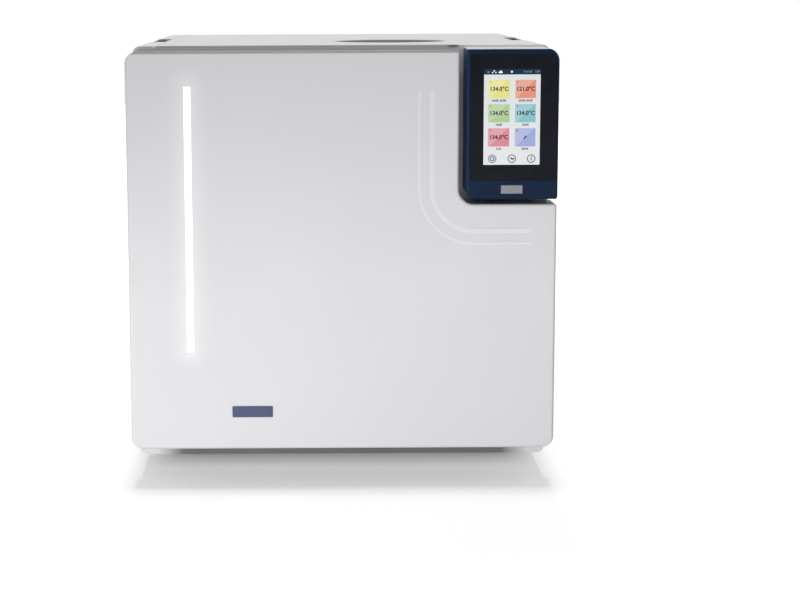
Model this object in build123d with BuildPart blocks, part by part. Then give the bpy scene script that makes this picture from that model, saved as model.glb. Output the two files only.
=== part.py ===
from build123d import *
import math
import os

# Tabletop steam steriliser. Millimetres; +Z is up, the front looks towards -Y,
# and the origin is the middle of the footprint at floor level.

os.makedirs("parts", exist_ok=True)

# Driving sizes of the whole machine
width = 480.0
height = 500.0
depth = 600.0
front_y = -depth / 2
back_y = depth / 2
foot_height = 28.0
running_gap = 0.3
sheet = 2.0

# Door: a hollow moulding that covers the whole front
door_front_y = front_y + 4.0
door_depth = 44.0
door_back_y = door_front_y + door_depth
door_left = -width / 2
door_right = width / 2
door_bottom = 46.0
door_top = height - 5.0
door_corner = 12.5
door_wall = 3.0
door_edge_round = 3.0

# Notch in the door's upper right corner, where the control housing stands
notch_width = 110.0
notch_left = door_right - notch_width
notch_bottom = 325.0
notch_corner = 17.0
notch_tip_corner = 3.5

# Case behind the door
case_side_step = 5.0
case_half_width = width / 2 - case_side_step
case_front_y = door_back_y + 6.0
case_back_y = back_y - 14.0
case_corner = 8.0
frame_depth = 15.7
frame_back_y = case_front_y + frame_depth
panel_front_y = frame_back_y + running_gap
cover_half_width = case_half_width - 27.0
inner_half_width = case_half_width - sheet - running_gap

# Chamber
chamber_z = 225.0
chamber_radius = width * 7 / 24
chamber_wall = 2.0
chamber_back_y = case_back_y - 72.0
flange_radius = chamber_radius + 20.0
flange_front_y = panel_front_y - 11.5

# Door hinge on the left
hinge_x = -case_half_width + 6.0
hinge_y = case_front_y + 6.0
hinge_heights = (110.0, door_top - 65.0)
hinge_pin_radius = 3.0
knuckle_radius = 5.5
knuckle_half_height = 9.0

# Door lock on the right
stud_x = width / 2 - 44.0
stud_heights = (chamber_z - 55.0, chamber_z + 65.0)
stud_neck_radius = 5.0
stud_head_radius = 9.0
lock_travel = 12.0


def plane_at_y(y):
    """Sketch plane facing the front: sketch x is row X, sketch y is row Z."""
    return Plane(origin=(0, y, 0), x_dir=(1, 0, 0), z_dir=(0, -1, 0))


def block(x_span, y_span, z_span, mode=Mode.ADD):
    """Adds or cuts a box between three pairs of limits."""
    spans = (x_span, y_span, z_span)
    centre = tuple((low + high) / 2 for low, high in spans)
    size = tuple(high - low for low, high in spans)
    with Locations(centre):
        Box(*size, mode=mode)


def rod_x(y, z, radius, x_span, mode=Mode.ADD):
    """Adds or cuts a round bar along X."""
    plane = Plane(origin=(x_span[0], y, z), x_dir=(0, 1, 0), z_dir=(1, 0, 0))
    with BuildSketch(plane) as circle:
        Circle(radius)
    extrude(circle.sketch, amount=x_span[1] - x_span[0], mode=mode)


def rod_y(x, z, radius, y_span, mode=Mode.ADD):
    """Adds or cuts a round bar along Y."""
    with BuildSketch(plane_at_y(y_span[1])) as circle:
        with Locations((x, z)):
            Circle(radius)
    extrude(circle.sketch, amount=y_span[1] - y_span[0], mode=mode)


def rod_z(x, y, radius, z_span, mode=Mode.ADD):
    """Adds or cuts a round bar along Z."""
    with BuildSketch(Plane.XY.offset(z_span[0])) as circle:
        with Locations((x, y)):
            Circle(radius)
    extrude(circle.sketch, amount=z_span[1] - z_span[0], mode=mode)


def plate_y(corners, radii, y_span, mode=Mode.ADD):
    """Adds or cuts a plate facing the front, from its corners in X and Z."""
    with BuildSketch(plane_at_y(y_span[1])) as outline:
        with BuildLine():
            FilletPolyline(*corners, radius=radii, close=True)
        make_face()
    extrude(outline.sketch, amount=y_span[1] - y_span[0], mode=mode)


def save(piece, name):
    """Labels one finished piece and writes it to its own file."""
    piece.part.label = name
    export_step(piece.part, f"parts/{name}.step")


def door_outline(inset):
    """Corners and corner radii of the door, drawn in by inset."""
    left = door_left + inset
    right = door_right - inset
    bottom = door_bottom + inset
    top = door_top - inset
    corners = [
        (left, bottom),
        (right, bottom),
        (right, notch_bottom - inset),
        (notch_left - inset, notch_bottom - inset),
        (notch_left - inset, top),
        (left, top),
    ]
    outer = door_corner - inset
    tip = max(notch_tip_corner - inset, 0.5)
    radii = [outer, outer, tip, notch_corner + inset, tip, outer]
    return corners, radii


# Door moulding, with the slot for the light strip and a faint raised contour
strip_x = door_left + 68.5
strip_half_width = 3.7
strip_bottom = 158.7
strip_top = door_top - 38.3
strip_slot_gap = 0.05
contour_height = 0.5
contour_lines = ((30.0, 5.0), (44.0, 3.0))
contour_top = door_top - 43.0
contour_right = door_right - 28.0
contour_root = 0.5
skin_back_y = door_front_y + door_wall

with BuildPart() as door_panel:
    plate_y(*door_outline(0), (door_front_y, door_back_y))
    front_edges = door_panel.faces().sort_by(Axis.Y)[0].edges()
    fillet(front_edges, radius=door_edge_round)
    plate_y(*door_outline(door_wall), (skin_back_y, door_back_y + 1), Mode.SUBTRACT)
    block(
        (strip_x - strip_half_width - strip_slot_gap, strip_x + strip_half_width + strip_slot_gap),
        (door_front_y - 1, skin_back_y + 1),
        (strip_bottom, strip_top),
        Mode.SUBTRACT,
    )
    for offset, line_width in contour_lines:
        with BuildSketch(plane_at_y(door_front_y + contour_root)) as contour:
            with BuildLine() as contour_path:
                FilletPolyline(
                    (notch_left - offset, contour_top),
                    (notch_left - offset, notch_bottom - offset),
                    (contour_right, notch_bottom - offset),
                    radius=notch_corner + offset,
                )
            trace(contour_path.line, line_width=line_width)
        extrude(contour.sketch, amount=contour_height + contour_root)
save(door_panel, "door_panel")

# Light strip: a diffuser bar in the slot, with a flange behind the skin
strip_flange_half_width = 8.0
strip_flange_thickness = 2.7
strip_flange_length = 4.0
strip_recess = 0.2
strip_end_gap = 0.1
strip_flange_front_y = skin_back_y + running_gap
strip_flange_back_y = strip_flange_front_y + strip_flange_thickness
with BuildPart() as light_strip:
    block(
        (strip_x - strip_half_width, strip_x + strip_half_width),
        (door_front_y + strip_recess, strip_flange_front_y + 1),
        (strip_bottom + strip_end_gap, strip_top - strip_end_gap),
    )
    block(
        (strip_x - strip_flange_half_width, strip_x + strip_flange_half_width),
        (strip_flange_front_y, strip_flange_back_y),
        (strip_bottom - strip_flange_length, strip_top + strip_flange_length),
    )
save(light_strip, "light_strip")

# Blank plate, low on the left of the door
plate_left = door_left + 115.0
plate_right = plate_left + 46.0
plate_bottom = door_bottom + 37.0
plate_top = plate_bottom + 13.0
plate_thickness = 0.5
with BuildPart() as name_plate:
    plate_y(
        [
            (plate_left, plate_bottom),
            (plate_right, plate_bottom),
            (plate_right, plate_top),
            (plate_left, plate_top),
        ],
        [1.0, 1.0, 1.0, 1.0],
        (door_front_y - plate_thickness, door_front_y),
    )
save(name_plate, "name_plate")

# Steel bridge inside the door, which carries the pressure plate, hinges and studs
bridge_thickness = 10.0
bridge_front_y = door_front_y + 16.0
bridge_back_y = bridge_front_y + bridge_thickness
spindle_radius = 11.95
spindle_bore = 12.0
with BuildPart() as door_bridge:
    bridge_span = (bridge_front_y, bridge_back_y)
    bridge_half_width = width / 2 - door_wall - running_gap
    block((-bridge_half_width, bridge_half_width), bridge_span, (chamber_z - 60, chamber_z + 60))
    block(
        (-bridge_half_width, hinge_x + 39),
        bridge_span,
        (hinge_heights[0] - 18, hinge_heights[1] + 18),
    )
    block((stud_x - 16, bridge_half_width), bridge_span, (stud_heights[0] - 20, stud_heights[1] + 20))
    rod_y(0, chamber_z, spindle_bore, bridge_span, Mode.SUBTRACT)
save(door_bridge, "door_bridge")

# Pressure plate with its spindle; it gives a little against a spring stack
disc_radius = chamber_radius + 16.0
disc_front_y = bridge_back_y + 14.0
disc_back_y = disc_front_y + 11.0
disc_dish_radius = chamber_radius - 12.0
disc_dish_depth = 5.0
disc_boss_radius = 26.0
disc_boss_step = 2.0
with BuildPart() as door_disc:
    rod_y(0, chamber_z, disc_radius, (disc_front_y, disc_back_y))
    rod_y(0, chamber_z, disc_dish_radius, (disc_back_y - disc_dish_depth, disc_back_y + 1), Mode.SUBTRACT)
    dish_rim = door_disc.edges().filter_by(GeomType.CIRCLE).filter_by(
        lambda edge: abs(edge.radius - disc_dish_radius) < 0.01
    )
    fillet(dish_rim.sort_by(Axis.Y)[0], radius=3.0)
    rod_y(0, chamber_z, disc_boss_radius, (disc_back_y - disc_dish_depth, disc_back_y - disc_boss_step))
save(door_disc, "door_disc")

nut_thickness = 6.7
nut_radius = 21.0
nut_span = (bridge_front_y - running_gap - nut_thickness, bridge_front_y - running_gap)
with BuildPart() as disc_spindle:
    rod_y(0, chamber_z, spindle_radius, (nut_span[0], disc_front_y))
    with BuildSketch(plane_at_y(nut_span[1])) as hexagon:
        with Locations((0, chamber_z)):
            RegularPolygon(radius=nut_radius, side_count=6)
    extrude(hexagon.sketch, amount=nut_thickness)
save(disc_spindle, "disc_spindle")

# Hinge arms on the door, with pins that turn in the case's brackets
arm_half_thickness = 3.0
ear_thickness = 4.0
ear_gap = 0.5
arm_foot_reach = 43.0
arm_foot_thickness = 6.0
pin_reach = knuckle_half_height + ear_gap + ear_thickness
with BuildPart() as hinge_arms:
    for z in hinge_heights:
        z_span = (z - knuckle_half_height, z + knuckle_half_height)
        block(
            (hinge_x - arm_half_thickness, hinge_x + arm_half_thickness),
            (bridge_back_y, hinge_y),
            z_span,
        )
        block(
            (hinge_x - arm_half_thickness, hinge_x + arm_foot_reach),
            (bridge_back_y, bridge_back_y + arm_foot_thickness),
            z_span,
        )
        rod_z(hinge_x, hinge_y, knuckle_radius, z_span)
        rod_z(hinge_x, hinge_y, hinge_pin_radius, (z - pin_reach, z + pin_reach))
save(hinge_arms, "hinge_arms")

# Locking studs on the door
stud_base_radius = 12.0
stud_base_thickness = 4.0
head_front_y = panel_front_y
head_back_y = head_front_y + 7.0
with BuildPart() as lock_studs:
    for z in stud_heights:
        rod_y(stud_x, z, stud_base_radius, (bridge_back_y, bridge_back_y + stud_base_thickness))
        rod_y(stud_x, z, stud_neck_radius, (bridge_back_y + stud_base_thickness, head_front_y))
        rod_y(stud_x, z, stud_head_radius, (head_front_y, head_back_y))
    head_rims = lock_studs.edges().filter_by(GeomType.CIRCLE).filter_by(
        lambda edge: abs(edge.radius - stud_head_radius) < 0.01
        and abs(edge.arc_center.Y - head_back_y) < 0.01
    )
    fillet(head_rims, radius=2.0)
save(lock_studs, "lock_studs")

# Rear cover of the door, open round the pressure plate, arms and studs
liner_thickness = 2.5
liner_front_y = door_back_y - liner_thickness
with BuildPart() as door_liner:
    plate_y(*door_outline(door_wall + running_gap), (liner_front_y, door_back_y))
    liner_cut = (liner_front_y - 1, door_back_y + 1)
    rod_y(0, chamber_z, disc_radius + 4, liner_cut, Mode.SUBTRACT)
    for z in stud_heights:
        rod_y(stud_x, z, stud_neck_radius + 3, liner_cut, Mode.SUBTRACT)
    for z in hinge_heights:
        block(
            (hinge_x - arm_half_thickness - 1, hinge_x + arm_half_thickness + 1),
            liner_cut,
            (z - knuckle_half_height - 1, z + knuckle_half_height + 1),
            Mode.SUBTRACT,
        )
save(door_liner, "door_liner")

# Hinge brackets let into the case; their ears are the bearings
pin_clearance = 0.05
bracket_back_y = frame_back_y
bracket_left_x = hinge_x - 5.0
bracket_plate = 2.0
pocket_right_x = hinge_x + 8.0
with BuildPart() as hinge_brackets:
    for z in hinge_heights:
        inner = knuckle_half_height + ear_gap
        for side in (-1, 1):
            ear_span = sorted((z + side * inner, z + side * pin_reach))
            block((hinge_x, pocket_right_x), (case_front_y, bracket_back_y), ear_span)
            block((bracket_left_x, hinge_x), (hinge_y, bracket_back_y), ear_span)
            rod_z(hinge_x, hinge_y, knuckle_radius - 0.5, ear_span)
        block(
            (bracket_left_x, pocket_right_x),
            (bracket_back_y - bracket_plate, bracket_back_y),
            (z - pin_reach, z + pin_reach),
        )
        rod_z(
            hinge_x,
            hinge_y,
            hinge_pin_radius + pin_clearance,
            (z - pin_reach - 1, z + pin_reach + 1),
            Mode.SUBTRACT,
        )
save(hinge_brackets, "hinge_brackets")

# Front frame of the case, which carries the control housing on a web
frame_opening_side = case_half_width - 22.0
frame_opening_bottom = 58.0
frame_opening_top = height - 14.0
web_left = notch_left - 8.0
web_bottom = notch_bottom - 1.0
web_corner = 20.0
band_left = -frame_opening_side
band_face_y = frame_back_y - 6.0
band_edge_round = 3.0


def frame_opening(inset):
    """Corners and radii of the opening in the front frame, drawn in by inset."""
    corners = [
        (-frame_opening_side + inset, frame_opening_bottom + inset),
        (frame_opening_side - inset, frame_opening_bottom + inset),
        (frame_opening_side - inset, web_bottom - inset),
        (web_left - inset, web_bottom - inset),
        (web_left - inset, frame_opening_top - inset),
        (-frame_opening_side + inset, frame_opening_top - inset),
    ]
    return corners, [6.0, 6.0, 6.0, web_corner + inset, 6.0, 6.0]


with BuildPart() as front_frame:
    plate_y(
        [
            (-case_half_width, foot_height),
            (case_half_width, foot_height),
            (case_half_width, height),
            (-case_half_width, height),
        ],
        [8.0, 8.0, case_corner, case_corner],
        (case_front_y, frame_back_y),
    )
    cut_span = (case_front_y - 1, frame_back_y + 1)
    plate_y(*frame_opening(0), cut_span, Mode.SUBTRACT)
    block(
        (band_left, web_left),
        (case_front_y - 1, band_face_y),
        (frame_opening_top - 8, height + 1),
        Mode.SUBTRACT,
    )
    band_edge = front_frame.edges().filter_by(Axis.X).filter_by(
        lambda edge: abs(edge.center().Y - band_face_y) < 0.01
        and abs(edge.center().Z - height) < 0.01
    )
    fillet(band_edge, radius=band_edge_round)
    for z in hinge_heights:
        reach = pin_reach + 1
        block(
            (-case_half_width - 1, pocket_right_x),
            cut_span,
            (z - reach, z + reach),
            Mode.SUBTRACT,
        )
save(front_frame, "front_frame")

# Dark fascia behind the door, with the holes it needs
fascia_front_y = case_front_y + 6.0
fascia_back_y = fascia_front_y + 3.0
filter_x = frame_opening_side - 28.0
filter_z = 110.0
filter_radius = 24.0
port_x = -frame_opening_side + 28.0
port_heights = (75.0, 110.0)
port_radius = 8.0
port_bore = 4.0
stud_hole_radius = 10.5
with BuildPart() as fascia:
    plate_y(*frame_opening(running_gap), (fascia_front_y, fascia_back_y))
    block(
        (band_left + running_gap, web_left - running_gap),
        (fascia_front_y, fascia_back_y),
        (frame_opening_top - 10, height - 3),
    )
    fascia_cut = (fascia_front_y - 1, fascia_back_y + 1)
    rod_y(0, chamber_z, flange_radius + running_gap, fascia_cut, Mode.SUBTRACT)
    for z in stud_heights:
        rod_y(stud_x, z, stud_hole_radius, fascia_cut, Mode.SUBTRACT)
    rod_y(filter_x, filter_z, filter_radius + 1, fascia_cut, Mode.SUBTRACT)
    for z in port_heights:
        rod_y(port_x, z, port_radius + running_gap, fascia_cut, Mode.SUBTRACT)
save(fascia, "fascia")

# Bulkhead behind the fascia, which holds the chamber's flange
bulkhead_front_y = panel_front_y
bulkhead_back_y = bulkhead_front_y + 3.0
bulkhead_half_width = case_half_width - 10.0
bulkhead_top_z = frame_opening_top - 2.0
lug_bottom_z = stud_heights[1] + 10.0
lug_top_z = lug_bottom_z + 10.0
with BuildPart() as bulkhead:
    block(
        (-bulkhead_half_width, bulkhead_half_width),
        (bulkhead_front_y, bulkhead_back_y),
        (foot_height + 2 * sheet + running_gap, bulkhead_top_z),
    )
    bulkhead_cut = (bulkhead_front_y - 1, bulkhead_back_y + 1)
    rod_y(0, chamber_z, chamber_radius + chamber_wall + running_gap, bulkhead_cut, Mode.SUBTRACT)
    for z in stud_heights:
        rod_y(stud_x, z, stud_head_radius + 5, bulkhead_cut, Mode.SUBTRACT)
    rod_y(filter_x, filter_z, filter_radius + running_gap, bulkhead_cut, Mode.SUBTRACT)
    for z in port_heights:
        rod_y(port_x, z, port_radius + running_gap, bulkhead_cut, Mode.SUBTRACT)
    block(
        (stud_x - 6, stud_x + 6),
        bulkhead_cut,
        (lug_bottom_z, lug_top_z + lock_travel + 2),
        Mode.SUBTRACT,
    )
save(bulkhead, "bulkhead")

# Lock slider: a bar with two forks, which rise round the stud necks behind the heads
slider_thickness = 3.0
slider_span = (bulkhead_front_y - running_gap - slider_thickness, bulkhead_front_y - running_gap)
slider_right_x = frame_opening_side - 0.6
slider_bar_left_x = stud_x + stud_head_radius + 1.5
slider_top_z = lug_top_z - 2.0
neck_gap = 0.6
fork_head_gap = 0.5
fork_base_height = 7.0
lug_back_y = bulkhead_front_y + 16.0
with BuildPart() as lock_slider:
    fork_half_width = stud_neck_radius + neck_gap
    lowest_fork_z = stud_heights[0] - lock_travel - fork_half_width - fork_base_height
    block((slider_bar_left_x, slider_right_x), slider_span, (lowest_fork_z, slider_top_z))
    for z in stud_heights:
        fork_top_z = z - stud_head_radius - fork_head_gap
        slot_floor_z = z - lock_travel - fork_half_width
        block(
            (stud_x - stud_hole_radius, slider_bar_left_x),
            slider_span,
            (slot_floor_z - fork_base_height, slot_floor_z),
        )
        block((stud_x - stud_hole_radius, stud_x - fork_half_width), slider_span, (slot_floor_z, fork_top_z))
        block((stud_x + fork_half_width, slider_bar_left_x), slider_span, (slot_floor_z, fork_top_z))
    block((stud_x - 5, slider_bar_left_x), slider_span, (lug_bottom_z + 2, slider_top_z))
    block((stud_x - 5, stud_x + 5), (slider_span[0], lug_back_y), (lug_bottom_z + 4, slider_top_z))
save(lock_slider, "lock_slider")

# Lock motor behind the bulkhead
motor_radius = 12.0
motor_y = bulkhead_back_y + 14.0
gearbox_bottom_z = lug_top_z + lock_travel + 8.0
gearbox_top_z = gearbox_bottom_z + 22.0
motor_length = 36.0
with BuildPart() as lock_motor:
    block((stud_x - 14, stud_x + 14), (bulkhead_back_y, motor_y + 9), (gearbox_bottom_z, gearbox_top_z))
    rod_z(stud_x, motor_y, motor_radius, (gearbox_top_z, gearbox_top_z + motor_length))
    rod_z(stud_x, motor_y, 3.0, (gearbox_bottom_z - 6, gearbox_bottom_z))
save(lock_motor, "lock_motor")

# Chamber: a drawn vessel with a dished back
chamber_back_round = 18.0
with BuildPart() as chamber:
    outer_radius = chamber_radius + chamber_wall
    straight_back_y = chamber_back_y - chamber_wall - chamber_back_round
    rod_y(0, chamber_z, outer_radius, (bulkhead_front_y, chamber_back_y))
    back_edge = chamber.edges().filter_by(GeomType.CIRCLE).sort_by(Axis.Y)[-1]
    fillet(back_edge, radius=chamber_back_round)
    rod_y(0, chamber_z, chamber_radius, (bulkhead_front_y - 1, straight_back_y), Mode.SUBTRACT)
    rod_y(
        0,
        chamber_z,
        chamber_radius - chamber_back_round + chamber_wall,
        (straight_back_y - 1, chamber_back_y - chamber_wall),
        Mode.SUBTRACT,
    )
save(chamber, "chamber")

gasket_inner = chamber_radius + 6.0
gasket_outer = gasket_inner + 6.0
groove_depth = 5.0
with BuildPart() as chamber_flange:
    rod_y(0, chamber_z, flange_radius, (flange_front_y, bulkhead_front_y))
    rod_y(0, chamber_z, chamber_radius, (flange_front_y - 1, bulkhead_front_y + 1), Mode.SUBTRACT)
    with BuildSketch(plane_at_y(flange_front_y + groove_depth)) as groove:
        with Locations((0, chamber_z)):
            Circle(gasket_outer)
            Circle(gasket_inner, mode=Mode.SUBTRACT)
    extrude(groove.sketch, amount=groove_depth + 1, mode=Mode.SUBTRACT)
save(chamber_flange, "chamber_flange")

# Seal in the flange's groove, proud of it towards the pressure plate
gasket_proud = 3.1
with BuildPart() as chamber_gasket:
    with BuildSketch(plane_at_y(flange_front_y + groove_depth)) as seal:
        with Locations((0, chamber_z)):
            Circle(gasket_outer)
            Circle(gasket_inner, mode=Mode.SUBTRACT)
    extrude(seal.sketch, amount=groove_depth + gasket_proud)
    seal_rims = chamber_gasket.faces().sort_by(Axis.Y)[0].edges()
    fillet(seal_rims, radius=2.0)
save(chamber_gasket, "chamber_gasket")

heater_thickness = 3.0
heater_inner = chamber_radius + chamber_wall
heater_half_length = 140.0
with BuildPart() as heater_band:
    rod_y(0, chamber_z, heater_inner + heater_thickness, (-heater_half_length, heater_half_length))
    rod_y(0, chamber_z, heater_inner, (-heater_half_length - 1, heater_half_length + 1), Mode.SUBTRACT)
save(heater_band, "heater_band")

insulation_inner = heater_inner + heater_thickness + running_gap
insulation_outer = chamber_radius + 24.0
rear_bulkhead_y = (chamber_back_y + 19.0, chamber_back_y + 21.0)
insulation_back_y = rear_bulkhead_y[0] - running_gap
with BuildPart() as insulation:
    rod_y(0, chamber_z, insulation_outer, (bulkhead_back_y, insulation_back_y))
    rod_y(0, chamber_z, insulation_inner, (bulkhead_back_y - 1, chamber_back_y + running_gap), Mode.SUBTRACT)
save(insulation, "insulation")

# Rack and trays inside the chamber
rack_half_width = chamber_radius * 0.7
rack_plate = 2.0
rack_front_y = panel_front_y + 25.0
rack_back_y = chamber_back_y - 24.0
rack_top_z = chamber_z + 88.0
rack_bottom_z = chamber_z - math.sqrt((chamber_radius - running_gap) ** 2 - rack_half_width**2)
tray_levels = tuple(chamber_z + level for level in (-81.0, -45.0, -9.0, 27.0, 63.0))
tray_height = 18.0
tray_half_width = rack_half_width - 10.0
tray_rim_half_width = rack_half_width - 3.5
rim_thickness = 1.2
rail_thickness = 1.7
rack_bar = 4.0
weld_gap = 0.05
window_count = 6
window_half_length = 24.0
with BuildPart() as tray_rack:
    for side in (-1, 1):
        plate_span = sorted((side * rack_half_width, side * (rack_half_width - rack_plate)))
        rail_span = sorted((side * (rack_half_width - rack_plate), side * (tray_half_width + 2)))
        block(plate_span, (rack_front_y, rack_back_y), (rack_bottom_z, rack_top_z))
        for level in tray_levels:
            rail_top = level + tray_height - rim_thickness - running_gap
            block(rail_span, (rack_front_y, rack_back_y), (rail_top - rail_thickness, rail_top))
    for side in (-1, 1):
        for index in range(window_count):
            window_y = rack_front_y + (index + 0.5) * (rack_back_y - rack_front_y) / window_count
            for level in tray_levels:
                block(
                    sorted((side * (rack_half_width - rack_plate - 0.5), side * (rack_half_width + 1))),
                    (window_y - window_half_length, window_y + window_half_length),
                    (level - 4, level + 9),
                    Mode.SUBTRACT,
                )
    bar_reach = rack_half_width - rack_plate - weld_gap
    front_bars = [(rack_front_y + 2.0, z) for z in (tray_levels[0] - 6.0, rack_top_z - rack_bar)]
    rear_bars = [(rack_back_y - rack_bar, z - 6.0) for z in tray_levels]
    rear_bars.append((rack_back_y - rack_bar, rack_top_z - rack_bar))
    for y, z in front_bars + rear_bars:
        block((-bar_reach, bar_reach), (y, y + rack_bar), (z, z + rack_bar))
save(tray_rack, "tray_rack")

tray_wall = 1.2
tray_front_y = rack_front_y + 0.5
tray_back_y = rack_back_y - rack_bar - 3.0
tray_lip_half_width = 30.0
tray_lip_reach = 9.0
tray_slot_length = 36.0
tray_slot_width = 6.0


def build_tray(level):
    """One perforated tray: pressed pan, rims that run on the rails, front lip."""
    with BuildPart() as tray:
        y_span = (tray_front_y, tray_back_y)
        block((-tray_half_width, tray_half_width), y_span, (level, level + tray_height))
        block(
            (-tray_half_width + tray_wall, tray_half_width - tray_wall),
            (tray_front_y + tray_wall, tray_back_y - tray_wall),
            (level + tray_wall, level + tray_height + 1),
            Mode.SUBTRACT,
        )
        for side in (-1, 1):
            block(
                sorted((side * tray_half_width, side * tray_rim_half_width)),
                y_span,
                (level + tray_height - rim_thickness, level + tray_height),
            )
        block(
            (-tray_lip_half_width, tray_lip_half_width),
            (tray_front_y - tray_lip_reach, tray_front_y),
            (level + tray_height - 4, level + tray_height - 2),
        )
        with BuildSketch(Plane.XY.offset(level - 1)) as slots:
            with Locations((0, (tray_front_y + tray_back_y) / 2)):
                with GridLocations(50, 26, 3, 13):
                    SlotOverall(tray_slot_length, tray_slot_width)
        extrude(slots.sketch, amount=tray_wall + 2, mode=Mode.SUBTRACT)
    return tray


for tray_number, tray_level in enumerate(tray_levels, start=1):
    save(build_tray(tray_level), f"tray_{tray_number}")

# Base pan and feet
pan_back_y = case_back_y - sheet - running_gap
pan_flange_height = 18.0
with BuildPart() as base_pan:
    pan_y_span = (panel_front_y, pan_back_y)
    block((-inner_half_width, inner_half_width), pan_y_span, (foot_height, foot_height + pan_flange_height))
    block(
        (-inner_half_width + sheet, inner_half_width - sheet),
        (panel_front_y - 1, pan_back_y - sheet),
        (foot_height + sheet, foot_height + pan_flange_height + 1),
        Mode.SUBTRACT,
    )
save(base_pan, "base_pan")

foot_radius = 20.0
foot_x = case_half_width - 60.0
foot_places = [(x, y) for x in (-foot_x, foot_x) for y in (-116.0, case_back_y - 42.0)]
with BuildPart() as feet:
    for x, y in foot_places:
        rod_z(x, y, foot_radius, (0, foot_height))
    foot_rims = feet.edges().filter_by(GeomType.CIRCLE).group_by(Axis.Z)[0]
    fillet(foot_rims, radius=3.0)
save(feet, "feet")

# Side panels, top cover and rear panel
grip_x_span = (case_half_width - 23.0, case_half_width - 3.0)
grip_y_span = (-62.0, 62.0)


def build_side_panel(side):
    """One side panel, rolled over at the top; side is -1 left, 1 right."""
    with BuildPart() as panel:
        with BuildSketch(plane_at_y(case_back_y)) as section:
            with BuildLine():
                FilletPolyline(
                    (side * (case_half_width - sheet), foot_height),
                    (side * case_half_width, foot_height),
                    (side * case_half_width, height),
                    (side * cover_half_width, height),
                    (side * cover_half_width, height - sheet),
                    (side * (case_half_width - sheet), height - sheet),
                    radius=[0, 0, case_corner, 0, 0, case_corner - sheet],
                    close=True,
                )
            make_face()
        extrude(section.sketch, amount=case_back_y - panel_front_y)
        block(
            sorted((side * grip_x_span[0], side * grip_x_span[1])),
            grip_y_span,
            (height - 30, height + 1),
            Mode.SUBTRACT,
        )
    return panel


save(build_side_panel(-1), "left_side_panel")
save(build_side_panel(1), "right_side_panel")

fill_x = 62.0
fill_y = -70.0
fill_radius = 68.0
cover_lip_height = 12.0
cover_side = cover_half_width - running_gap
cover_lip_side = cover_side - 4.0
with BuildPart() as top_cover:
    block((-cover_side, cover_side), (panel_front_y, case_back_y), (height - sheet, height))
    for y_span in ((panel_front_y, panel_front_y + sheet), (case_back_y - sheet, case_back_y)):
        block((-cover_lip_side, cover_lip_side), y_span, (height - cover_lip_height, height - sheet))
    rod_z(fill_x, fill_y, fill_radius, (height - 5, height + 1), Mode.SUBTRACT)
    hole_rim = top_cover.edges().filter_by(GeomType.CIRCLE).group_by(Axis.Z)[-1]
    fillet(hole_rim, radius=1.0)
save(top_cover, "top_cover")

grip_wall = 1.5
grip_top_z = height - 6.0
grip_floor_z = height - 20.0
with BuildPart() as grip_cups:
    for side in (-1, 1):
        outer_x = (grip_x_span[0] + running_gap, grip_x_span[1] - running_gap)
        outer_y = (grip_y_span[0] + running_gap, grip_y_span[1] - running_gap)
        block(sorted((side * outer_x[0], side * outer_x[1])), outer_y, (grip_floor_z, grip_top_z))
        inner_x = (outer_x[0] + grip_wall, outer_x[1] - grip_wall)
        inner_y = (outer_y[0] + grip_wall, outer_y[1] - grip_wall)
        block(
            sorted((side * inner_x[0], side * inner_x[1])),
            inner_y,
            (grip_floor_z + grip_wall, grip_top_z + 1),
            Mode.SUBTRACT,
        )
save(grip_cups, "grip_cups")

fan_x = 90.0
fan_z = 300.0
fan_bore = 57.0
inlet_x = inner_half_width - 58.7
inlet_z = 71.0
inlet_body_half = (16.0, 12.0)
switch_x = inlet_x - 60.0
switch_z = inlet_z
switch_body_half = (12.0, 13.0)
spigot_places = tuple((x - inner_half_width, 70.0) for x in (62.7, 102.7))
spigot_body_radius = 7.0
rear_front_y = case_back_y - sheet
rear_top_z = height - cover_lip_height - running_gap
rear_ear_x = cover_lip_side + running_gap
rear_ear_z = height - sheet - running_gap
rear_corner = case_corner - sheet
with BuildPart() as rear_panel:
    plate_y(
        [
            (-inner_half_width, foot_height),
            (inner_half_width, foot_height),
            (inner_half_width, rear_ear_z),
            (rear_ear_x, rear_ear_z),
            (rear_ear_x, rear_top_z),
            (-rear_ear_x, rear_top_z),
            (-rear_ear_x, rear_ear_z),
            (-inner_half_width, rear_ear_z),
        ],
        [0, 0, rear_corner, 0, 0, 0, 0, rear_corner],
        (rear_front_y, case_back_y),
    )
    rear_cut = (rear_front_y - 1, case_back_y + 1)
    rod_y(fan_x, fan_z, fan_bore, rear_cut, Mode.SUBTRACT)
    for middle_x, middle_z, half_sizes in (
        (inlet_x, inlet_z, inlet_body_half),
        (switch_x, switch_z, switch_body_half),
    ):
        reach_x, reach_z = (half_size + running_gap for half_size in half_sizes)
        block(
            (middle_x - reach_x, middle_x + reach_x),
            rear_cut,
            (middle_z - reach_z, middle_z + reach_z),
            Mode.SUBTRACT,
        )
    for x, z in spigot_places:
        rod_y(x, z, spigot_body_radius + running_gap, rear_cut, Mode.SUBTRACT)
    for row in range(8):
        for column in range(3):
            block(
                (-170 + column * 60, -125 + column * 60),
                rear_cut,
                (200 + row * 14, 206 + row * 14),
                Mode.SUBTRACT,
            )
save(rear_panel, "rear_panel")

screw_x = inner_half_width - 10.7
screw_places = [(x, z) for x in (-screw_x, 0.0, screw_x) for z in (60.0, rear_top_z - 11.7)]
screw_places += [(x, 270.0) for x in (-screw_x, screw_x)]
screw_radius = 4.0
screw_head_height = 2.5
with BuildPart() as rear_screws:
    for x, z in screw_places:
        rod_y(x, z, screw_radius, (case_back_y, case_back_y + screw_head_height))
        block((x - 0.6, x + 0.6), (case_back_y + 1.2, case_back_y + 3), (z - 2.5, z + 2.5), Mode.SUBTRACT)
save(rear_screws, "rear_screws")

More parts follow.
